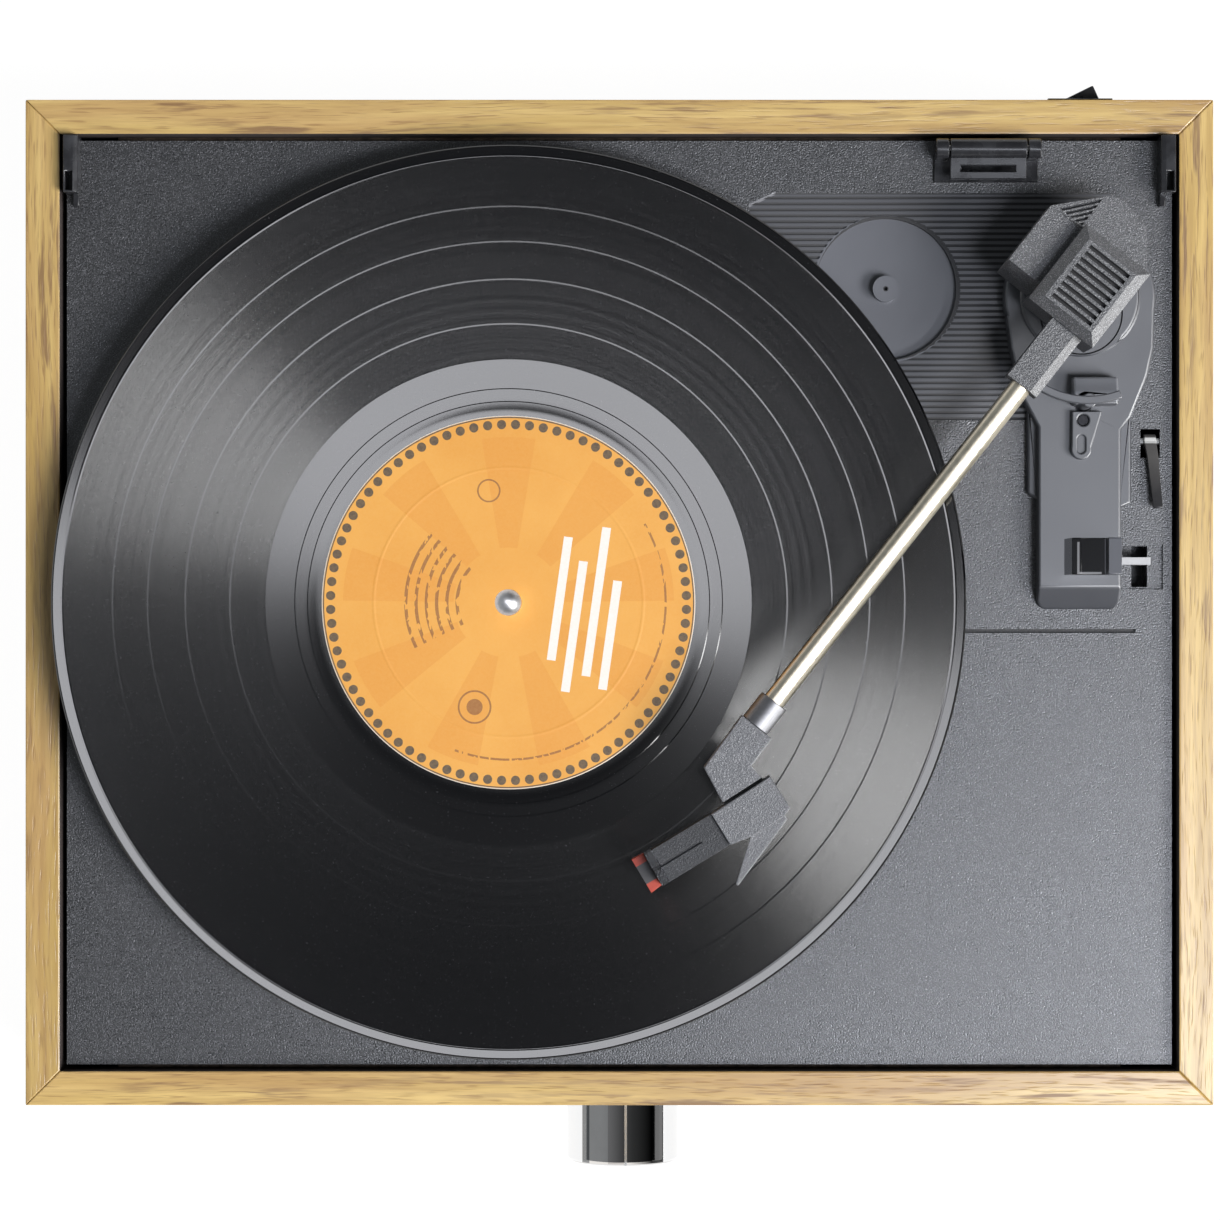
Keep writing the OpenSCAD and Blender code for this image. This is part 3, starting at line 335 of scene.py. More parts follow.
def joined_mesh(node, whole=False):
    """A copy of a CAD piece's mesh, its triangles joined and, if whole, its flat faces made one."""
    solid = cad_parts[node].data
    bare = bpy.data.meshes.new(node + "_bare")
    bare.from_pydata([v.co for v in solid.vertices], [], [list(p.vertices) for p in solid.polygons])
    shape = bmesh.new()
    shape.from_mesh(bare)
    bpy.data.meshes.remove(bare)
    bmesh.ops.remove_doubles(shape, verts=shape.verts, dist=2e-6)
    if whole:
        bmesh.ops.dissolve_limit(shape, angle_limit=math.radians(1.0), verts=shape.verts, edges=shape.edges)
    return shape


def finished(name, shape, material, body, node, edge=0.0, steps=2, crisp=None):
    """Makes a shape into a CAD node's piece: smooth, with its outer edges rounded to a width in mm.

    It rides on its body. Edges within crisp, a middle and a radius, are left unrounded.
    """
    weight = shape.edges.layers.float.new("bevel_weight_edge")
    for rim in shape.edges:
        middle = (rim.verts[0].co + rim.verts[1].co) / 2
        near = crisp and (middle.xy - Vector(crisp[0])).length < crisp[1]
        if len(rim.link_faces) == 2 and not near and rim.calc_face_angle_signed() > CREASE:
            rim[weight] = 1.0
    piece = placed(name, shape)
    piece.data.shade_smooth()
    piece.data.set_sharp_from_angle(angle=CREASE)
    piece.data.materials.append(material)
    if edge:
        rounding = piece.modifiers.new("rounded_edges", "BEVEL")
        rounding.width = edge * MM
        rounding.segments = steps
        rounding.limit_method = "WEIGHT"
        rounding.use_clamp_overlap = False
    evening = piece.modifiers.new("even_shading", "WEIGHTED_NORMAL")
    evening.keep_sharp = True
    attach(piece, body)
    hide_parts(node)


def moulding(node, material, body, edge=0.0, steps=2, whole=False, crisp=None):
    """The CAD piece itself with its edges rounded."""
    finished(node + "_piece", joined_mesh(node, whole), material, body, node, edge, steps, crisp)


for side, turn, tone in BOARDS:
    moulding(side + "_board", oak("oak_foil_" + side, math.radians(turn), tone), "plinth", edge=0.45)

# Base. A panel of dark pressed board under the plinth, held by sunk cross-head screws, on four rubber feet.
# Battens of the same board carry the deck. The drive belt is of the feet's rubber, the metal works and the
# screws are of plated steel, and the lift's screw is blackened.
SIDES = (-1, 1)
PANEL_SCREWS = [(sx * 158.9, sy * 69.25, 8) for sx in SIDES for sy in SIDES]
PANEL_SCREWS += [(sx * 81.8, sy * 133.8, 8) for sy in SIDES for sx in SIDES]
DECK_SCREWS = [(sx * 54.53, sy * 125.1, 67.4) for sx in SIDES for sy in SIDES]
BASE_SCREWS = [(126.5, y, 71.4) for y in (26, 36)]
SCREW_SIZES = {"Head Radius": 2.9 * MM, "Head Height": 1.6 * MM, "Shank Radius": 1.5 * MM,
               "Cross Width": 0.8 * MM, "Cross Depth": 0.9 * MM}
ON_ARM = ("pivot_pin", "counterweight")


def clouded(name, colours, roughness, fineness, detail=3, rough=0.5, limits=None, depth=0.0, pits=None,
            **sockets):
    """A material clouded between two colours, which are reached at the limits.

    The roughness is one value, or two that the clouds run between. The relief, with its depth in mm,
    is of the clouds or of pits with a fineness of their own.
    """
    material, tree, shader = new_material(name, **sockets)
    place = place_of(tree)
    cloud = noise(tree, place, fineness, detail, rough)
    drive(tree, shader, Base_Color=tint(tree, spread(tree, cloud, *limits) if limits else cloud, *colours))
    if isinstance(roughness, tuple):
        drive(tree, shader, Roughness=spread(tree, cloud, 0.0, 1.0, *roughness))
    else:
        shader.inputs["Roughness"].default_value = roughness
    if depth:
        relief(tree, shader, noise(tree, place, pits) if pits else cloud, depth)
    return material


pressed = clouded("pressed_board", ((0.05, 0.036, 0.026), (0.14, 0.10, 0.07)), 0.75, (300, 180, 300), 5, 0.65,
                  limits=(0.35, 0.65), depth=0.05)
moulding("bottom_panel", pressed, "plinth", edge=0.4)
moulding("deck_battens", pressed, "plinth", edge=0.4)

rubber = clouded("foot_rubber", ((0.014, 0.014, 0.015), (0.035, 0.035, 0.037)), 0.7, 260, 4, 0.6,
                 limits=(0.4, 0.7), depth=0.03, pits=2600)
moulding("rubber_feet", rubber, "plinth", edge=0.6, steps=3)
moulding("drive_belt", rubber, "plinth")

plated = clouded("plated_steel", ((0.40, 0.40, 0.41), (0.66, 0.66, 0.66)), (0.2143, 0.5714), 420, 4, 0.6,
                 Metallic=1.0)
for fixing in ("motor_screws", "speaker_screws", "hinge_pin", "pivot_pin", "motor_can", "left_speaker",
               "right_speaker", "volume_pot", "pot_nut", "counterweight"):
    moulding(fixing, plated, "tonearm" if fixing in ON_ARM else "plinth", edge=0.15)


def screw_tree():
    """Geometry Nodes: a cross-head screw on each point, head down."""
    tree = bpy.data.node_groups.new("cross_head_screws", "GeometryNodeTree")
    tree.interface.new_socket("Places", in_out="INPUT", socket_type="NodeSocketGeometry")
    for socket in (*SCREW_SIZES, "Shank Length"):
        tree.interface.new_socket(socket, in_out="INPUT", socket_type="NodeSocketFloat")
    tree.interface.new_socket("Metal", in_out="INPUT", socket_type="NodeSocketMaterial")
    tree.interface.new_socket("Screws", in_out="OUTPUT", socket_type="NodeSocketGeometry")
    given = tree.nodes.new("NodeGroupInput").outputs
    out = tree.nodes.new("NodeGroupOutput").inputs

    def rod(facets, radius, length, height):
        """An upright rod with its middle at a height."""
        bar = put(tree, "GeometryNodeMeshCylinder", {"Vertices": facets, "Radius": radius, "Depth": length})
        lift = put(tree, "ShaderNodeCombineXYZ", {2: height}).outputs[0]
        return put(tree, "GeometryNodeTransform", {"Geometry": bar.outputs["Mesh"],
                                                   "Translation": lift}).outputs[0]

    head = rod(40, given["Head Radius"], given["Head Height"], product(tree, given["Head Height"], 0.5))
    reach = product(tree, given["Head Radius"], 1.25)
    deep = product(tree, given["Cross Depth"], 2.0)
    for long, wide in ((reach, given["Cross Width"]), (given["Cross Width"], reach)):
        size = put(tree, "ShaderNodeCombineXYZ", {0: long, 1: wide, 2: deep}).outputs[0]
        bar = put(tree, "GeometryNodeMeshCube", {"Size": size}).outputs["Mesh"]
        cut = put(tree, "GeometryNodeMeshBoolean", {"Mesh 1": head, "Mesh 2": bar}, operation="DIFFERENCE")
        head = cut.outputs["Mesh"]
    shank_middle = total(tree, given["Head Height"], product(tree, given["Shank Length"], 0.5))
    shank = rod(24, given["Shank Radius"], given["Shank Length"], shank_middle)
    screw = put(tree, "GeometryNodeJoinGeometry")
    tree.links.new(head, screw.inputs[0])
    tree.links.new(shank, screw.inputs[0])
    set_out = put(tree, "GeometryNodeInstanceOnPoints", {"Points": given["Places"],
                                                         "Instance": screw.outputs[0]})
    real = put(tree, "GeometryNodeRealizeInstances", {"Geometry": set_out.outputs[0]})
    made = put(tree, "GeometryNodeSetMaterial", {"Geometry": real.outputs[0], "Material": given["Metal"]})
    tree.links.new(made.outputs[0], out["Screws"])
    return tree


def grown(name, places, tree, values):
    """Runs a Geometry Nodes tree on a set of points in mm and gives back the shape that it makes."""
    seeds = bpy.data.meshes.new(name + "_places")
    seeds.from_pydata([(x * MM, y * MM + PLINTH_Y, z * MM) for x, y, z in places], [], [])
    holder = bpy.data.objects.new(name + "_places", seeds)
    scene.collection.objects.link(holder)
    growth = holder.modifiers.new(name, "NODES")
    growth.node_group = tree
    for socket in tree.interface.items_tree:
        if socket.in_out == "INPUT" and socket.name in values:
            growth[socket.identifier] = values[socket.name]
    bpy.context.view_layer.update()
    mesh = bpy.data.meshes.new_from_object(holder.evaluated_get(bpy.context.evaluated_depsgraph_get()))
    bpy.data.objects.remove(holder)
    shape = bmesh.new()
    shape.from_mesh(mesh)
    bpy.data.meshes.remove(mesh)
    return shape


SCREW_TREE = screw_tree()
for node, places, length in (("panel_screws", PANEL_SCREWS, 13.9), ("deck_screws", DECK_SCREWS, 6.8),
                             ("base_screws", BASE_SCREWS, 9.0)):
    shape = grown(node, places, SCREW_TREE, {**SCREW_SIZES, "Shank Length": length * MM, "Metal": plated})
    finished(node + "_set", shape, plated, "plinth", node, edge=0.12)

blackened = clouded("blackened_steel", ((0.02, 0.02, 0.022), (0.06, 0.06, 0.065)), 0.4, 900, Metallic=1.0)
moulding("lift_screw", blackened, "plinth", edge=0.15)

# Deck. A sheet moulded in black plastic with a fine spark-eroded grain, let into the plinth.
# The ribbed field and the round pocket for a centre adapter are left smooth. Shade is painted dark between
# the ribs, along the back edge of the ribbed field, in the fine line below them, in the pocket's centre hole
# and round the pocket, where the ribs end in teeth.
GRAIN_SIZE, GRAIN_DEPTH = 0.44, 0.045
DECK_PIT, DECK_SPECK = (0.007, 0.007, 0.0085), (0.13, 0.131, 0.142)
RIB_TONE, POCKET_TONE = (0.065, 0.067, 0.076), (0.115, 0.119, 0.137)
PAINTED_HIGHLIGHT_TONE, PAINTED_SHADE_TONE = (0.22, 0.22, 0.235), (0.011, 0.011, 0.014)
POCKET = (73.6 * MM, 86.7 * MM + PLINTH_Y, 0)
POCKET_R, RIM_INNER, RIM_OUTER = 20.4 * MM, 19.55 * MM, 19.7 * MM
POST_HOLE_R = 0.75 * MM
TOOTH = 1.1 * MM
SHADED_WAY = (0.85, 0.5, 0)
RIB_PITCH = 1.65 * MM
RIB_FOOT = 76.85 * MM
RIBS_BACK = 113.2
RIB_FIELD = [(36, 109.8), (36, 95), (80, 50.5), (114, 50.5), (136, 95), (136, RIBS_BACK), (43, RIBS_BACK)]
FINE_LINE_Y = -0.9 * MM


def moulded_grain_group():
    tree, given, out = new_group("moulded_grain", {"Size": 0.5}, ("Height", "Specks"))
    place = place_of(tree)
    fineness = calc(tree, "DIVIDE", 1000.0, given["Size"])
    grain = noise(tree, place, fineness)
    finer = noise(tree, place, product(tree, fineness, 1.7), 1.0)
    tree.links.new(total(tree, spread(tree, grain, 0.3, 0.7), product(tree, finer, 0.5)), out["Height"])
    tree.links.new(spread(tree, finer, 0.56, 0.70), out["Specks"])
    return tree


MOULDED_GRAIN = moulded_grain_group()


def grained(tree, size):
    """The height and the pale specks of a moulded grain, with its size in mm."""
    group = put(tree, "ShaderNodeGroup", {"Size": size}, node_tree=MOULDED_GRAIN)
    return group.outputs["Height"], group.outputs["Specks"]


def between(tree, value, low, high):
    return product(tree, calc(tree, "GREATER_THAN", value, low), calc(tree, "LESS_THAN", value, high))


deck_black, tree, shader = new_material("deck_black", IOR=1.7, Specular_IOR_Level=0.9)
place = place_of(tree)
x, y, z = split(tree, place)
spot = flat(tree, x, y)
from_pocket = vector(tree, "DISTANCE", spot, POCKET)
in_pocket = calc(tree, "LESS_THAN", from_pocket, POCKET_R)
in_ribs = 1.0
for start, end in zip(RIB_FIELD, RIB_FIELD[1:] + RIB_FIELD[:1]):
    inward = Vector((start[1] - end[1], end[0] - start[0], 0)).normalized()
    reach = (inward.x * start[0] + inward.y * start[1]) * MM + inward.y * PLINTH_Y
    from_edge = calc(tree, "SUBTRACT", vector(tree, "DOT_PRODUCT", spot, inward), reach)
    in_ribs = product(tree, in_ribs, calc(tree, "GREATER_THAN", from_edge, 0.0))
# A highlight is painted as a pale line along the slanted corner of the ribbed field.
painted_highlight = product(tree, within(tree, x, 39.5 * MM, 3.7 * MM), within(tree, from_edge, 0.0, 0.4 * MM))
smooth = calc(tree, "MAXIMUM", in_pocket, in_ribs)
rough_share = remainder(tree, product(tree, smooth, 0.9))
height, specks = grained(tree, GRAIN_SIZE)
tone = tint(tree, product(tree, specks, rough_share), DECK_PIT, DECK_SPECK)
for mask, colour in ((in_ribs, RIB_TONE), (in_pocket, POCKET_TONE), (painted_highlight, PAINTED_HIGHLIGHT_TONE)):
    tone = tint(tree, mask, tone, colour)
# Painted shade round the pocket: a rim, wider to the back right and toothed at the rib pitch, and a dark dot
# in the centre hole.
outward = vector(tree, "NORMALIZE", vector(tree, "SUBTRACT", spot, POCKET))
shaded = spread(tree, vector(tree, "DOT_PRODUCT", outward, SHADED_WAY), -0.6, 0.7)
tooth = calc(tree, "PINGPONG", product(tree, y, 1 / RIB_PITCH), 0.5)
rim_width = product(tree, shaded, total(tree, 0.55, tooth), TOOTH)
rim_shade = between(tree, from_pocket, RIM_INNER, total(tree, RIM_OUTER, rim_width))
rim_shade = calc(tree, "MAXIMUM", rim_shade, calc(tree, "LESS_THAN", from_pocket, POST_HOLE_R))
# Painted shade between the ribs, in the fine line and along the back edge of the ribbed field, but not in the
# pocket.
lined = calc(tree, "MAXIMUM", in_ribs, within(tree, y, FINE_LINE_Y, 1.0 * MM))
painted_shade = product(tree, lined, calc(tree, "LESS_THAN", z, RIB_FOOT))
back_edge_shade = calc(tree, "GREATER_THAN", y, (RIBS_BACK - 0.35) * MM + PLINTH_Y)
painted_shade = calc(tree, "MAXIMUM", painted_shade, product(tree, in_ribs, back_edge_shade))
painted_shade = calc(tree, "MAXIMUM", product(tree, painted_shade, remainder(tree, in_pocket)), rim_shade)
gloss = total(tree, 0.28, product(tree, noise(tree, place, 60, 3), 0.08))
pitted = product(tree, calc(tree, "SUBTRACT", height, 0.75), rough_share)
gloss = total(tree, gloss, product(tree, pitted, 0.16), product(tree, painted_shade, 0.5))
drive(tree, shader, Base_Color=tint(tree, painted_shade, tone, PAINTED_SHADE_TONE), Roughness=gloss)
relief(tree, shader, product(tree, height, rough_share), GRAIN_DEPTH)
moulding("deck_plate", deck_black, "plinth")

# Controls and fittings. Small mouldings in black plastic with a half gloss, and a few in white, grey and red,
# clipped or screwed to the deck and the boards. The lift's lever turns on a bright pin.
LEVER_GLEAM_START, LEVER_GLEAM_END = 36 * MM, 54 * MM
LEVER_PIN_Y, LEVER_PIN_R = 51.8 * MM, 0.8 * MM

half_gloss = clouded("half_gloss_black", ((0.016, 0.016, 0.018), (0.034, 0.035, 0.039)), (0.1034, 0.4483),
                     140, 4, 0.6, limits=(0.35, 0.7), depth=0.008, pits=1800)
for fitting in ("hinge_base", "left_cover_socket", "right_cover_socket", "switch_housing", "jack_plate",
                "power_inlet", "slider_body"):
    moulding(fitting, half_gloss, "plinth", edge=0.25)
moulding("hinge_leaf", half_gloss, "leaf", edge=0.25)
moulding("power_rocker", half_gloss, "rocker", edge=0.4)

lever_black, tree, shader = new_material("lever_black", Roughness=0.26)
place = place_of(tree)
y = split(tree, place)[1]
tone = tint(tree, noise(tree, place, 500, 3), (0.016, 0.016, 0.018), (0.036, 0.035, 0.036))
# The lever is painted lighter and browner toward its back, a painted sheen.
tone = tint(tree, spread(tree, y, LEVER_GLEAM_START, LEVER_GLEAM_END), tone, (0.13, 0.125, 0.12))
pin = within(tree, y, LEVER_PIN_Y, LEVER_PIN_R)
drive(tree, shader, Base_Color=tint(tree, pin, tone, (0.66, 0.66, 0.64)))
moulding("cue_lever", lever_black, "cue", edge=0.25)

bright_white = clouded("white_plastic", ((0.74, 0.73, 0.68), (0.82, 0.82, 0.80)), 0.4, 300)
moulding("left_jack", bright_white, "plinth", edge=0.2)
pale_grey = clouded("pale_grey", ((0.44, 0.44, 0.45), (0.56, 0.56, 0.57)), 0.4, 300)
moulding("speed_slider", pale_grey, "selector", edge=0.2)
signal_red = clouded("red_plastic", ((0.52, 0.04, 0.02), (0.74, 0.09, 0.05)), 0.38, 500)
moulding("right_jack", signal_red, "plinth", edge=0.2)

# Works inside. An amplifier board with printed tracks on brass posts, the pulped fibre cones of the
# loudspeakers, and the turned brass of the bearing and the pulley.
board_green, tree, shader = new_material("circuit_board", Roughness=0.35)
tracks = put(tree, "ShaderNodeTexBrick", {"Vector": vector(tree, "MULTIPLY", place_of(tree), (220, 220, 220)),
                                          "Scale": 1.0, "Mortar Size": 0.06}).outputs["Fac"]
drive(tree, shader, Base_Color=tint(tree, tracks, (0.012, 0.09, 0.035), (0.03, 0.17, 0.07)))
moulding("amplifier_board", board_green, "plinth", edge=0.2)

brass = clouded("turned_brass", ((0.58, 0.38, 0.14), (0.80, 0.58, 0.26)), 0.3, (40, 40, 2600), 2,
                Metallic=1.0)
for node, body in (("main_bush", "plinth"), ("board_posts", "plinth"), ("motor_pulley", "pulley")):
    moulding(node, brass, body, edge=0.15)

cone_fibre = clouded("cone_fibre", ((0.012, 0.012, 0.012), (0.04, 0.038, 0.035)), 0.85, 900, 5, 0.7,
                     depth=0.06)
moulding("left_cone", cone_fibre, "plinth")
moulding("right_cone", cone_fibre, "plinth")

# Platter. A casting in a satin champagne metal with a felt mat laid on it.
# It is carried by a chromed spindle with a low round nose.
SPINDLE = (-30.3 * MM, PLINTH_Y)
SPINDLE_R, NOSE_H = 3.5 * MM, 1.7 * MM
NOSE_POWER = 2.2

tube_metal = clouded("satin_champagne", ((0.56, 0.51, 0.40), (0.66, 0.61, 0.50)), (0.1935, 0.5161), 700,
                     Metallic=1.0)
moulding("platter", tube_metal, "turntable", edge=0.3)

felt = clouded("mat_felt", ((0.006, 0.006, 0.007), (0.028, 0.028, 0.03)), 0.95, 1500, 5, 0.7, depth=0.15,
               Sheen_Weight=0.4)
moulding("platter_mat", felt, "turntable", edge=0.3)

chrome = clouded("polished_chrome", ((0.72, 0.72, 0.73), (0.86, 0.86, 0.87)), (0.25, 0.4583), 240, 4, 0.6,
                 Metallic=1.0)
nose = joined_mesh("spindle")
off_axis = {vert: (vert.co.xy - Vector(SPINDLE)).length for vert in nose.verts}
nose_top = max(vert.co.z for vert in nose.verts)
shoulder = max(vert.co.z for vert in nose.verts if off_axis[vert] > SPINDLE_R - 0.02 * MM)
for vert in nose.verts:
    if vert.co.z > shoulder - 0.001 * MM:
        vert.co.z = nose_top - NOSE_H * (off_axis[vert] / SPINDLE_R) ** NOSE_POWER
finished("spindle_piece", nose, chrome, "turntable", "spindle")

# Record. A pressed vinyl disc laid over the spindle, with a raised edge, five bands of groove
# and a plain run-out with two lead-out turns round the label.
BORE_R, RECORD_R = 3.6, 125.0
RECORD_BOTTOM, GROOVE_TOP, LABEL_SEAT = 91.0, 92.38, 92.6
GROOVE_INNER, GROOVE_OUTER = 66.4, 121.6
GROOVE_PITCH, SWING_PITCH = 0.11 * MM, 0.13 * MM
GAPS, GAP_HALF = (108.2, 98.6, 88.3, 76.1), 0.21
LEAD_OUTS, LEAD_OUT_HALF = (54.9, 58.4), 0.13
VINYL_BLACK, VINYL_DUST = (0.002, 0.002, 0.0026), (0.2, 0.2, 0.21)
RECORD_PROFILE = [
    (BORE_R, RECORD_BOTTOM), (124.4, RECORD_BOTTOM), (RECORD_R, 91.5), (RECORD_R, 92.2), (124.75, 92.55),
    (124.4, 92.72), (124.2, 92.695), (122.5, 92.475), (122.3, 92.45), (122.1, GROOVE_TOP),
    (121.9, GROOVE_TOP), (65.4, GROOVE_TOP), (56.0, GROOVE_TOP), (53.0, 92.5), (51.6, LABEL_SEAT),
    (BORE_R, LABEL_SEAT), (BORE_R, RECORD_BOTTOM)]


def from_spindle(tree):
    """The way out from the spindle, its parts to the right and to the back, and its length."""
    x, y = split(tree, place_of(tree))[:2]
    right, back = calc(tree, "SUBTRACT", x, SPINDLE[0]), calc(tree, "SUBTRACT", y, SPINDLE[1])
    outward = flat(tree, right, back)
    return outward, right, back, vector(tree, "LENGTH", outward)


vinyl, tree, shader = new_material("pressed_vinyl", Specular_IOR_Level=0.6)
outward, right, back, radius = from_spindle(tree)
loudness = spread(tree, noise(tree, flat(tree, radius, 0.0), 700, 5, 0.8), 0.25, 0.75)
grooved = between(tree, radius, GROOVE_INNER * MM, GROOVE_OUTER * MM)
quiet = total(tree, *[within(tree, radius, gap * MM, GAP_HALF * MM) for gap in GAPS])
flatter = spread(tree, radius, 106 * MM, 76 * MM, 0.32, 0.62)
wave = calc(tree, "SINE", product(tree, radius, 2 * math.pi / GROOVE_PITCH))
on_wall = calc(tree, "GREATER_THAN", calc(tree, "ABSOLUTE", wave), product(tree, loudness, flatter))
swing = put(tree, "ShaderNodeTexWhiteNoise", {"W": product(tree, radius, 1 / SWING_PITCH)},
            noise_dimensions="1D").outputs["Value"]
steep = total(tree, 0.20, product(tree, swing, total(tree, 0.14, product(tree, loudness, 0.30))))
steep = product(tree, steep, remainder(tree, product(tree, quiet, 0.98)))
lean = product(tree, calc(tree, "SIGN", wave), on_wall, steep, grooved)
for turn in LEAD_OUTS:
    lean = total(tree, lean, product(tree, within(tree, radius, turn * MM, LEAD_OUT_HALF * MM), 0.4))
tilt = put(tree, "ShaderNodeVectorMath", {0: vector(tree, "NORMALIZE", outward), "Scale": lean},
           operation="SCALE").outputs[0]
tilt = put(tree, "ShaderNodeVectorTransform", {0: tilt}, vector_type="VECTOR", convert_from="OBJECT",
           convert_to="WORLD").outputs[0]
upright = put(tree, "ShaderNodeNewGeometry").outputs["Normal"]
dust = spread(tree, noise(tree, place_of(tree), 2400), 0.70, 0.76)
played = product(tree, grooved, remainder(tree, quiet))
on_bead = calc(tree, "GREATER_THAN", radius, GROOVE_OUTER * MM)
gloss = total(tree, 0.12, product(tree, played, 0.1), product(tree, quiet, 0.04),
              product(tree, on_bead, -0.04))
drive(tree, shader, Base_Color=tint(tree, product(tree, dust, 0.3), VINYL_BLACK, VINYL_DUST), Roughness=gloss,
      Normal=vector(tree, "NORMALIZE", vector(tree, "ADD", upright, tilt)))
finished("pressed_record", turned(RECORD_PROFILE, SPINDLE, 320), vinyl, "turntable",
         "vinyl_record")

# Label. A disc of coated orange paper pressed into the record, with a ridge round its inner field.
# Printed in white and brown: a ring of dots, plain rays, arcs and ruled lines.
LABEL_R, LABEL_TOP, RIDGE_TOP = 51.0, 92.75, 92.9
LABEL_PROFILE = [
    (BORE_R, LABEL_SEAT), (LABEL_R, LABEL_SEAT), (LABEL_R, 92.66), (LABEL_R - 0.25, LABEL_TOP),
    (37.5, LABEL_TOP), (37.1, RIDGE_TOP), (36.5, RIDGE_TOP), (36.1, LABEL_TOP), (BORE_R, LABEL_TOP),
    (BORE_R, LABEL_SEAT)]
ORANGE, ORANGE_PALE, ORANGE_RAY = (0.73, 0.325, 0.055), (0.78, 0.375, 0.075), (0.70, 0.275, 0.04)
INK_WHITE, INK_BROWN, INK_DARK = (0.86, 0.84, 0.80), (0.16, 0.05, 0.03), (0.05, 0.045, 0.045)
CUT_EDGE, PAPER_FIBRE = (0.7, 0.66, 0.6), (0.8, 0.5, 0.2)
RAYS, RAY_INNER, RAY_OUTER = 9, 15, 45.2
RULES, RULE_WIDTH, RULE_LEAN = ((12.5, -14, 20), (17.5, -22, 14), (22.5, -17, 24), (27.5, -20, 10)), 2.4, 8
ARC_RADII, ARC_WIDTH = (13.6, 16.4, 19.2, 22.0, 24.8, 27.6), 0.9
DOTS, DOT_RING, DOT_SIZE = 80, 48.6, 0.98

label_paper, tree, shader = new_material("label_paper", Roughness=0.48, Specular_IOR_Level=0.3)
place = place_of(tree)
outward, right, back, radius = from_spindle(tree)
bearing = product(tree, calc(tree, "ARCTAN2", back, right), 180 / math.pi)


def arc(inner, width, middle, half):
    """A printed arc, in mm and degrees."""
    off = put(tree, "ShaderNodeMath", {0: calc(tree, "SUBTRACT", bearing, middle), 1: 180.0, 2: -180.0},
              operation="WRAP").outputs[0]
    in_band = between(tree, radius, inner * MM, (inner + width) * MM)
    return product(tree, in_band, calc(tree, "LESS_THAN", calc(tree, "ABSOLUTE", off), half))


def ring_mark(r, angle, size, line):
    """A small printed circle; with no line width it is a solid dot."""
    middle = (r * MM * math.cos(math.radians(angle)), r * MM * math.sin(math.radians(angle)), 0)
    off = vector(tree, "DISTANCE", outward, middle)
    return between(tree, off, (size - line) * MM if line else -1.0, size * MM)


colour = tint(tree, spread(tree, noise(tree, place, 38, 3), 0.35, 0.65), ORANGE, ORANGE_PALE)
ray = calc(tree, "SINE", product(tree, bearing, RAYS * math.pi / 180))
rays = product(tree, calc(tree, "GREATER_THAN", ray, 0.1),
               between(tree, radius, RAY_INNER * MM, RAY_OUTER * MM))
leaning = put(tree, "ShaderNodeVectorRotate", {"Vector": outward, "Angle": math.radians(RULE_LEAN)},
              rotation_type="Z_AXIS").outputs[0]
leaning_x, leaning_y = split(tree, leaning)[:2]
rules = total(tree, *[product(tree, between(tree, leaning_x, left * MM, (left + RULE_WIDTH) * MM),
                              between(tree, leaning_y, low * MM, high * MM)) for left, low, high in RULES])
dashes = calc(tree, "GREATER_THAN", noise(tree, outward, (900, 380, 1), 1), 0.44)
arcs = total(tree, *[arc(inner, ARC_WIDTH, 172, 34) for inner in ARC_RADII], arc(42.6, 0.6, -40, 70))
browns = total(tree, ring_mark(31, 100, 3.2, 0.45), ring_mark(30, -108, 4.6, 0.5),
               ring_mark(30, -108, 2.2, 0), product(tree, dashes, arcs))
in_step = calc(tree, "FRACT", product(tree, bearing, DOTS / 360))
along = calc(tree, "SUBTRACT", product(tree, in_step, 4.0), 2.0)
apart = product(tree, calc(tree, "SUBTRACT", radius, DOT_RING * MM), 1 / (DOT_SIZE * MM))
dots = calc(tree, "LESS_THAN", total(tree, product(tree, along, along), product(tree, apart, apart)), 1.7)
darks = total(tree, dots, between(tree, radius, 50.35 * MM, 50.7 * MM))
fibre = noise(tree, place, 1600, 3)
for mask, ink in ((product(tree, rays, 0.5), ORANGE_RAY), (rules, INK_WHITE),
                  (product(tree, browns, 0.75), INK_BROWN), (darks, INK_DARK),
                  (calc(tree, "GREATER_THAN", radius, 50.76 * MM), CUT_EDGE),
                  (product(tree, fibre, 0.25), PAPER_FIBRE)):
    colour = tint(tree, mask, colour, ink)
drive(tree, shader, Base_Color=colour)
relief(tree, shader, fibre, 0.012)
finished("pressed_label", turned(LABEL_PROFILE, SPINDLE, 240), label_paper, "turntable",
         "record_label")

# Arm base. A smooth grey moulding screwed to the deck, which carries the turret, the cueing lift and the arm
# rest. The lift's tongue, its bar and the turret are of the same plastic; the roof over the lift is painted
# paler, as painted light.
PIVOT = (126.8 * MM, 79.4 * MM + PLINTH_Y)
PIVOT_BOSS_R = 13 * MM
LIFT_ROOF, LIFT_ROOF_HALF = (129.5 * MM, 66.5 * MM, 89.7 * MM), (9.0 * MM, 4.6 * MM, 3.5 * MM)

satin_grey, tree, shader = new_material("satin_grey", IOR=1.7, Specular_IOR_Level=0.9)
place = place_of(tree)
flow = noise(tree, place, 45, 4, 0.6)
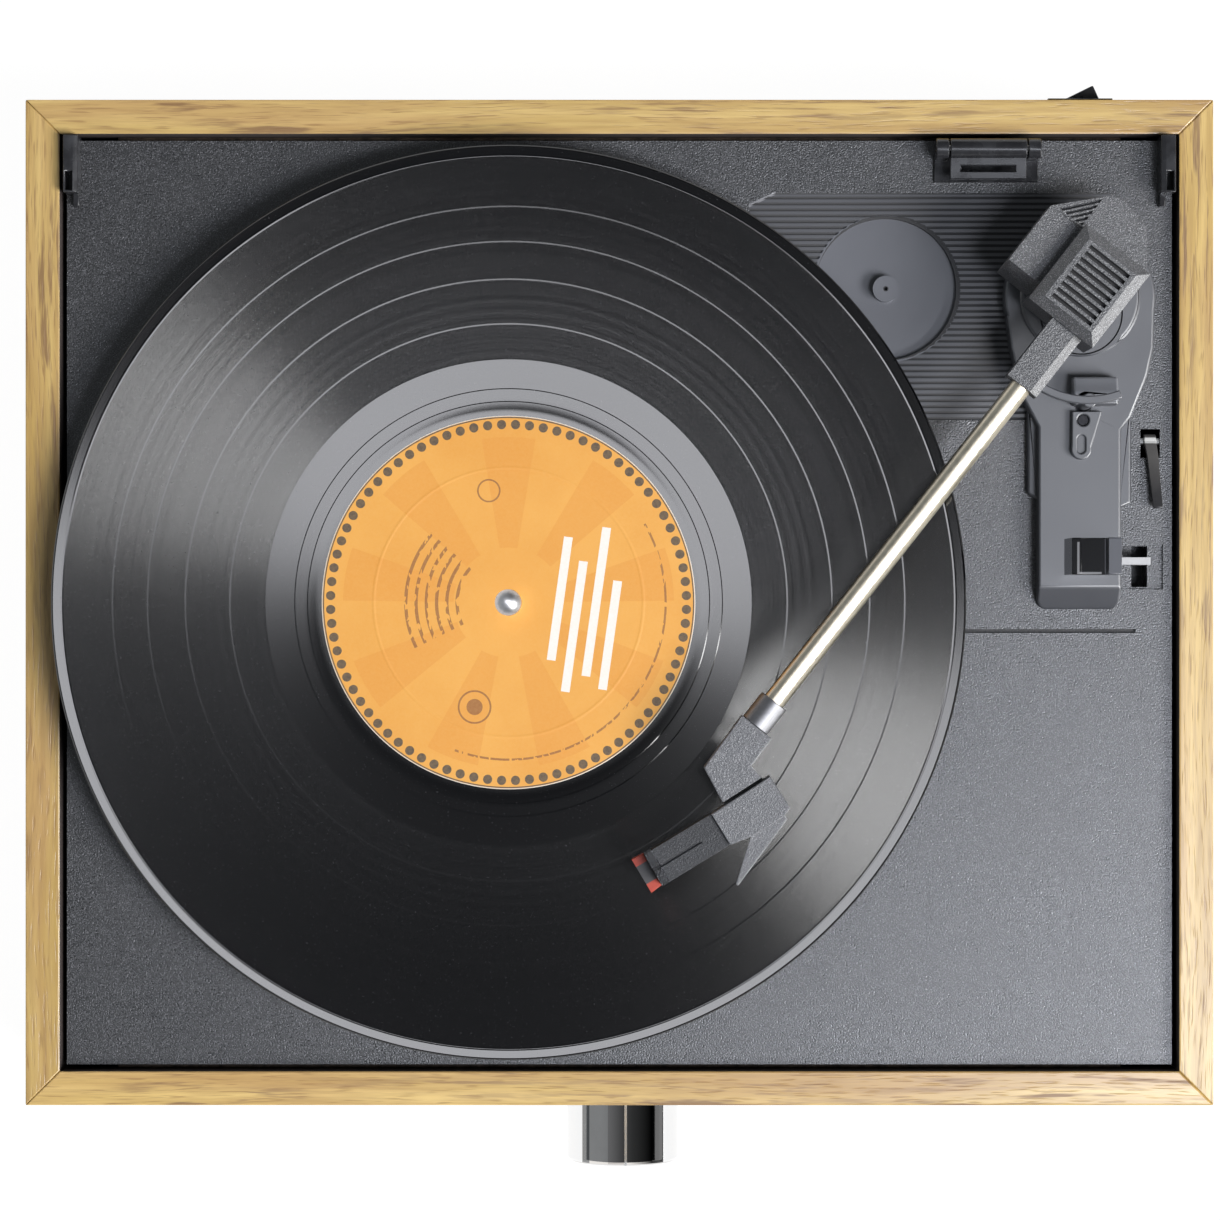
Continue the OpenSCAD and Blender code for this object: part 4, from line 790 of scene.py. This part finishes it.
# The roof over the lift is painted paler, as painted light, since it leans away from the lamps.
roof_painted_light = product(tree, *[within(tree, *side) for side in zip(split(tree, place), LIFT_ROOF, LIFT_ROOF_HALF)])
grey = tint(tree, flow, (0.036, 0.038, 0.046), (0.048, 0.051, 0.061))
drive(tree, shader, Base_Color=tint(tree, roof_painted_light, grey, (0.125, 0.13, 0.146)),
      Roughness=spread(tree, flow, 0.0, 1.0, 0.3333, 0.5417))
relief(tree, shader, noise(tree, place, 1500), 0.006)
moulding("arm_base", satin_grey, "plinth", edge=0.7, steps=3, whole=True,
         crisp=(PIVOT, PIVOT_BOSS_R))
moulding("lift_tongue", satin_grey, "plinth", edge=0.4, steps=3, whole=True)
moulding("lift_bar", satin_grey, "lift", edge=0.3, whole=True)
moulding("arm_turret", satin_grey, "turret")

# Arm rest. A glossy black clip with a grey stop block on its outer side, set in the base.
# Its tops are painted lighter and two of its upper edges carry painted highlights as thin lines; below them
# its own black is deepened as painted shade.
STOP_X = 131.5 * MM
REST_TOP = 108.6 * MM
REST_LEFT, REST_FRONT = 123.9 * MM, 14.9 * MM
LIP_HIGHLIGHT_HALF = 0.3 * MM

rest_black, tree, shader = new_material("rest_black")
x, y, z = split(tree, place_of(tree))
on_stop = calc(tree, "GREATER_THAN", x, STOP_X)
# Painted light and shade: lighter tops, a near black inside and thin painted highlights on two upper edges;
# the stop block keeps its own grey.
tone = tint(tree, calc(tree, "GREATER_THAN", z, REST_TOP), (0.003, 0.003, 0.0035), (0.05, 0.051, 0.056))
left_lip_highlight = product(tree, between(tree, y, 14.6 * MM, 23.3 * MM), within(tree, x, REST_LEFT, LIP_HIGHLIGHT_HALF))
front_lip_highlight = product(tree, between(tree, x, 123.6 * MM, 130.6 * MM), within(tree, y, REST_FRONT, LIP_HIGHLIGHT_HALF))
lip_highlight = calc(tree, "MAXIMUM", left_lip_highlight, front_lip_highlight)
tone = tint(tree, product(tree, lip_highlight, 0.8), tone, (0.24, 0.24, 0.25))
drive(tree, shader, Base_Color=tint(tree, on_stop, tone, (0.075, 0.078, 0.09)),
      Roughness=total(tree, 0.18, product(tree, on_stop, 0.2)))
moulding("arm_rest", rest_black, "plinth", edge=0.3, steps=3)

# Pickup arm. Black grained mouldings on a thin metal tube: the housing with its slotted cover, the headshell
# and the cartridge with its glossy front. A gunmetal collar holds the shell on the tube, and the red stylus
# holder is clipped to the cartridge.
ARM_TURN = math.radians(231.9)
SHELL_FRONT = (190.1 * MM, -3.9 * MM)
SHELL_COS, SHELL_SIN = 0.931, 0.364
SLOT_FLOOR, SLOT_TOP = 115.2 * MM, 116.6 * MM
SLOT_MIDDLE, SLOT_HALF = (-3.7 * MM, -3.9 * MM), (8.8 * MM, 6.7 * MM)
ARM_SPECK = (0.29, 0.292, 0.306)
BLACK_AND_SLOT_SHADE = (0.006, 0.006, 0.007)
FRONT_BAND = -2.4 * MM
CLIP_MIDDLE, CLIP_HALF = 4.9 * MM, 2.7 * MM


def along_arm(tree):
    """Distances from the pivot along the arm and across it."""
    off = vector(tree, "SUBTRACT", place_of(tree), (*PIVOT, 0))
    turned_back = put(tree, "ShaderNodeVectorRotate", {"Vector": off, "Angle": -ARM_TURN},
                      rotation_type="Z_AXIS").outputs[0]
    return split(tree, turned_back)[:2]


def along_shell(tree):
    """Distances from the front of the headshell along it and across it; it is set at an angle to the arm."""
    along, across = [calc(tree, "SUBTRACT", way, start) for way, start in zip(along_arm(tree), SHELL_FRONT)]
    forward = calc(tree, "SUBTRACT", product(tree, along, SHELL_COS), product(tree, across, SHELL_SIN))
    return forward, total(tree, product(tree, along, SHELL_SIN), product(tree, across, SHELL_COS))


def arm_plastic(name, dark, light, size, depth, **sockets):
    """Grained plastic between two greys, with the grain's size and depth in mm."""
    material, tree, shader = new_material(name, IOR=1.6, **sockets)
    height, specks = grained(tree, size)
    colour = tint(tree, specks, dark, light)
    drive(tree, shader, Base_Color=colour)
    relief(tree, shader, height, depth)
    return material, tree, shader, colour


arm_black, tree, shader, colour = arm_plastic(
    "arm_black", (0.028, 0.029, 0.033), ARM_SPECK, 0.40, 0.075, Specular_IOR_Level=0.9)
z = split(tree, place_of(tree))[2]
# The slots in the housing's cover are painted black as painted shade, and made rougher.
slot_shade = product(tree, between(tree, z, SLOT_FLOOR, SLOT_TOP),
                  *[within(tree, *side) for side in zip(along_arm(tree), SLOT_MIDDLE, SLOT_HALF)])
drive(tree, shader, Base_Color=tint(tree, slot_shade, colour, BLACK_AND_SLOT_SHADE),
      Roughness=total(tree, 0.44, product(tree, slot_shade, 0.45)))
moulding("arm_housing", arm_black, "tonearm", edge=0.14)

shell_grey = arm_plastic("shell_grey", (0.066, 0.068, 0.076), ARM_SPECK, 0.40, 0.065, Specular_IOR_Level=0.9,
                         Roughness=0.46)[0]
moulding("headshell", shell_grey, "tonearm", edge=0.25)

cartridge_black, tree, shader, colour = arm_plastic(
    "cartridge_black", (0.016, 0.017, 0.02), (0.085, 0.087, 0.096), 0.42, 0.05, Specular_IOR_Level=0.45)
forward = along_shell(tree)[0]
band = calc(tree, "GREATER_THAN", forward, FRONT_BAND)
drive(tree, shader, Base_Color=tint(tree, band, colour, BLACK_AND_SLOT_SHADE),
      Roughness=calc(tree, "SUBTRACT", 0.5, product(tree, band, 0.4)))
moulding("cartridge", cartridge_black, "tonearm", edge=0.25)
moulding("arm_tube", tube_metal, "tonearm")

stylus_red, tree, shader = new_material("stylus_red", Roughness=0.4)
sideways = along_shell(tree)[1]
clip = within(tree, sideways, CLIP_MIDDLE, CLIP_HALF)
ears = tint(tree, noise(tree, place_of(tree), 500, 3), (0.34, 0.04, 0.022), (0.50, 0.07, 0.04))
drive(tree, shader, Base_Color=tint(tree, clip, ears, (0.06, 0.058, 0.06)))
moulding("stylus", stylus_red, "tonearm", edge=0.15)

gunmetal = clouded("gunmetal", ((0.19, 0.19, 0.2), (0.28, 0.28, 0.29)), 0.5, 900, Metallic=1.0)
moulding("tube_collar", gunmetal, "tonearm", edge=0.2)

# Volume knob. A solid turned knob, chromed, with a white marker line, pressed on its shaft in front of the
# plinth. Reflections of a dark room and the pale floor are painted across the chrome, and the far light and
# the high box are kept off it.
MARKER_LOW = 43 * MM
KNOB_END_Y = -150.9 * MM
MARKER_X, MARKER_HALF = 1.8 * MM, 0.35 * MM
REFLECTION_BAND_X, REFLECTION_BAND_HALF = -0.6 * MM, 2.6 * MM
SHADE_START, SHADE_END = 3.0 * MM, 9.0 * MM
LEFT_SIDE = -8.4 * MM
FLANK_MIDDLE, FLANK_OFF = 1.0 * MM, 11.4 * MM
MARKER_WHITE = (0.95, 0.95, 0.95)

knob_chrome, tree, shader = new_material("knob_chrome", Roughness=0.08)
place = place_of(tree)
x, y, z = split(tree, place)
haze = noise(tree, place, 240, 4, 0.6)
off_middle = calc(tree, "ABSOLUTE", calc(tree, "SUBTRACT", x, FLANK_MIDDLE))
end_metal = tint(tree, haze, (0.66, 0.65, 0.64), (0.78, 0.77, 0.76))
metal = tint(tree, haze, (0.68, 0.65, 0.62), (0.78, 0.75, 0.72))
# Painted reflections: a grey band near the middle, a dark shade to the right, a darker grey left side and
# pale flanks; the end face keeps plain chrome.
for mask, tone in ((within(tree, x, REFLECTION_BAND_X, REFLECTION_BAND_HALF), (0.52, 0.49, 0.47)),
                   (spread(tree, x, SHADE_START, SHADE_END), (0.012, 0.012, 0.012)),
                   (calc(tree, "LESS_THAN", x, LEFT_SIDE), (0.23, 0.23, 0.23)),
                   (calc(tree, "GREATER_THAN", off_middle, FLANK_OFF), (0.84, 0.84, 0.84)),
                   (calc(tree, "LESS_THAN", y, KNOB_END_Y), end_metal)):
    metal = tint(tree, mask, metal, tone)
marker = product(tree, within(tree, x, MARKER_X, MARKER_HALF), calc(tree, "GREATER_THAN", z, MARKER_LOW))
drive(tree, shader, Base_Color=tint(tree, marker, metal, MARKER_WHITE), Metallic=remainder(tree, marker))
moulding("volume_knob", knob_chrome, "knob", edge=0.2, steps=3, whole=True)

# Which lamp lights what. The far light and the high box leave out the knob, and the high box also the record.
# The low box is for the edges of the arm and the fittings, the panel for the record, spindle and tube.
# The arm rest, the lift bar and the spindle throw no shadow.
EDGE_LIT = ("arm_base", "lift_tongue", "arm_turret", "arm_rest", "arm_housing", "headshell", "cartridge",
            "lift_bar", "cue_lever", "hinge_base", "hinge_leaf", "left_cover_socket", "right_cover_socket",
            "tube_collar", "volume_knob")
OFF_UPPER = ("volume_knob_piece", "pressed_record")
MIRRORED = ("pressed_record", "spindle_piece", "arm_tube_piece")
NO_SHADOW = ("arm_rest_piece", "spindle_piece", "lift_bar_piece")


def listed(name, pieces, state="INCLUDE"):
    """A collection of pieces that a lamp takes in or leaves out."""
    group = bpy.data.collections.new(name)
    for piece in pieces:
        group.objects.link(bpy.data.objects[piece])
        group.collection_objects[-1].light_linking.link_state = state
    return group


key.light_linking.receiver_collection = listed("off_key", ["volume_knob_piece"], "EXCLUDE")
upper.light_linking.receiver_collection = listed("off_upper", OFF_UPPER, "EXCLUDE")
no_shadow = listed("no_shadow", NO_SHADOW, "EXCLUDE")
for lamp in (key, upper):
    lamp.light_linking.blocker_collection = no_shadow
kicker.light_linking.receiver_collection = listed("edge_lit", [node + "_piece" for node in EDGE_LIT])
panel.light_linking.receiver_collection = listed("mirrored", MIRRORED)
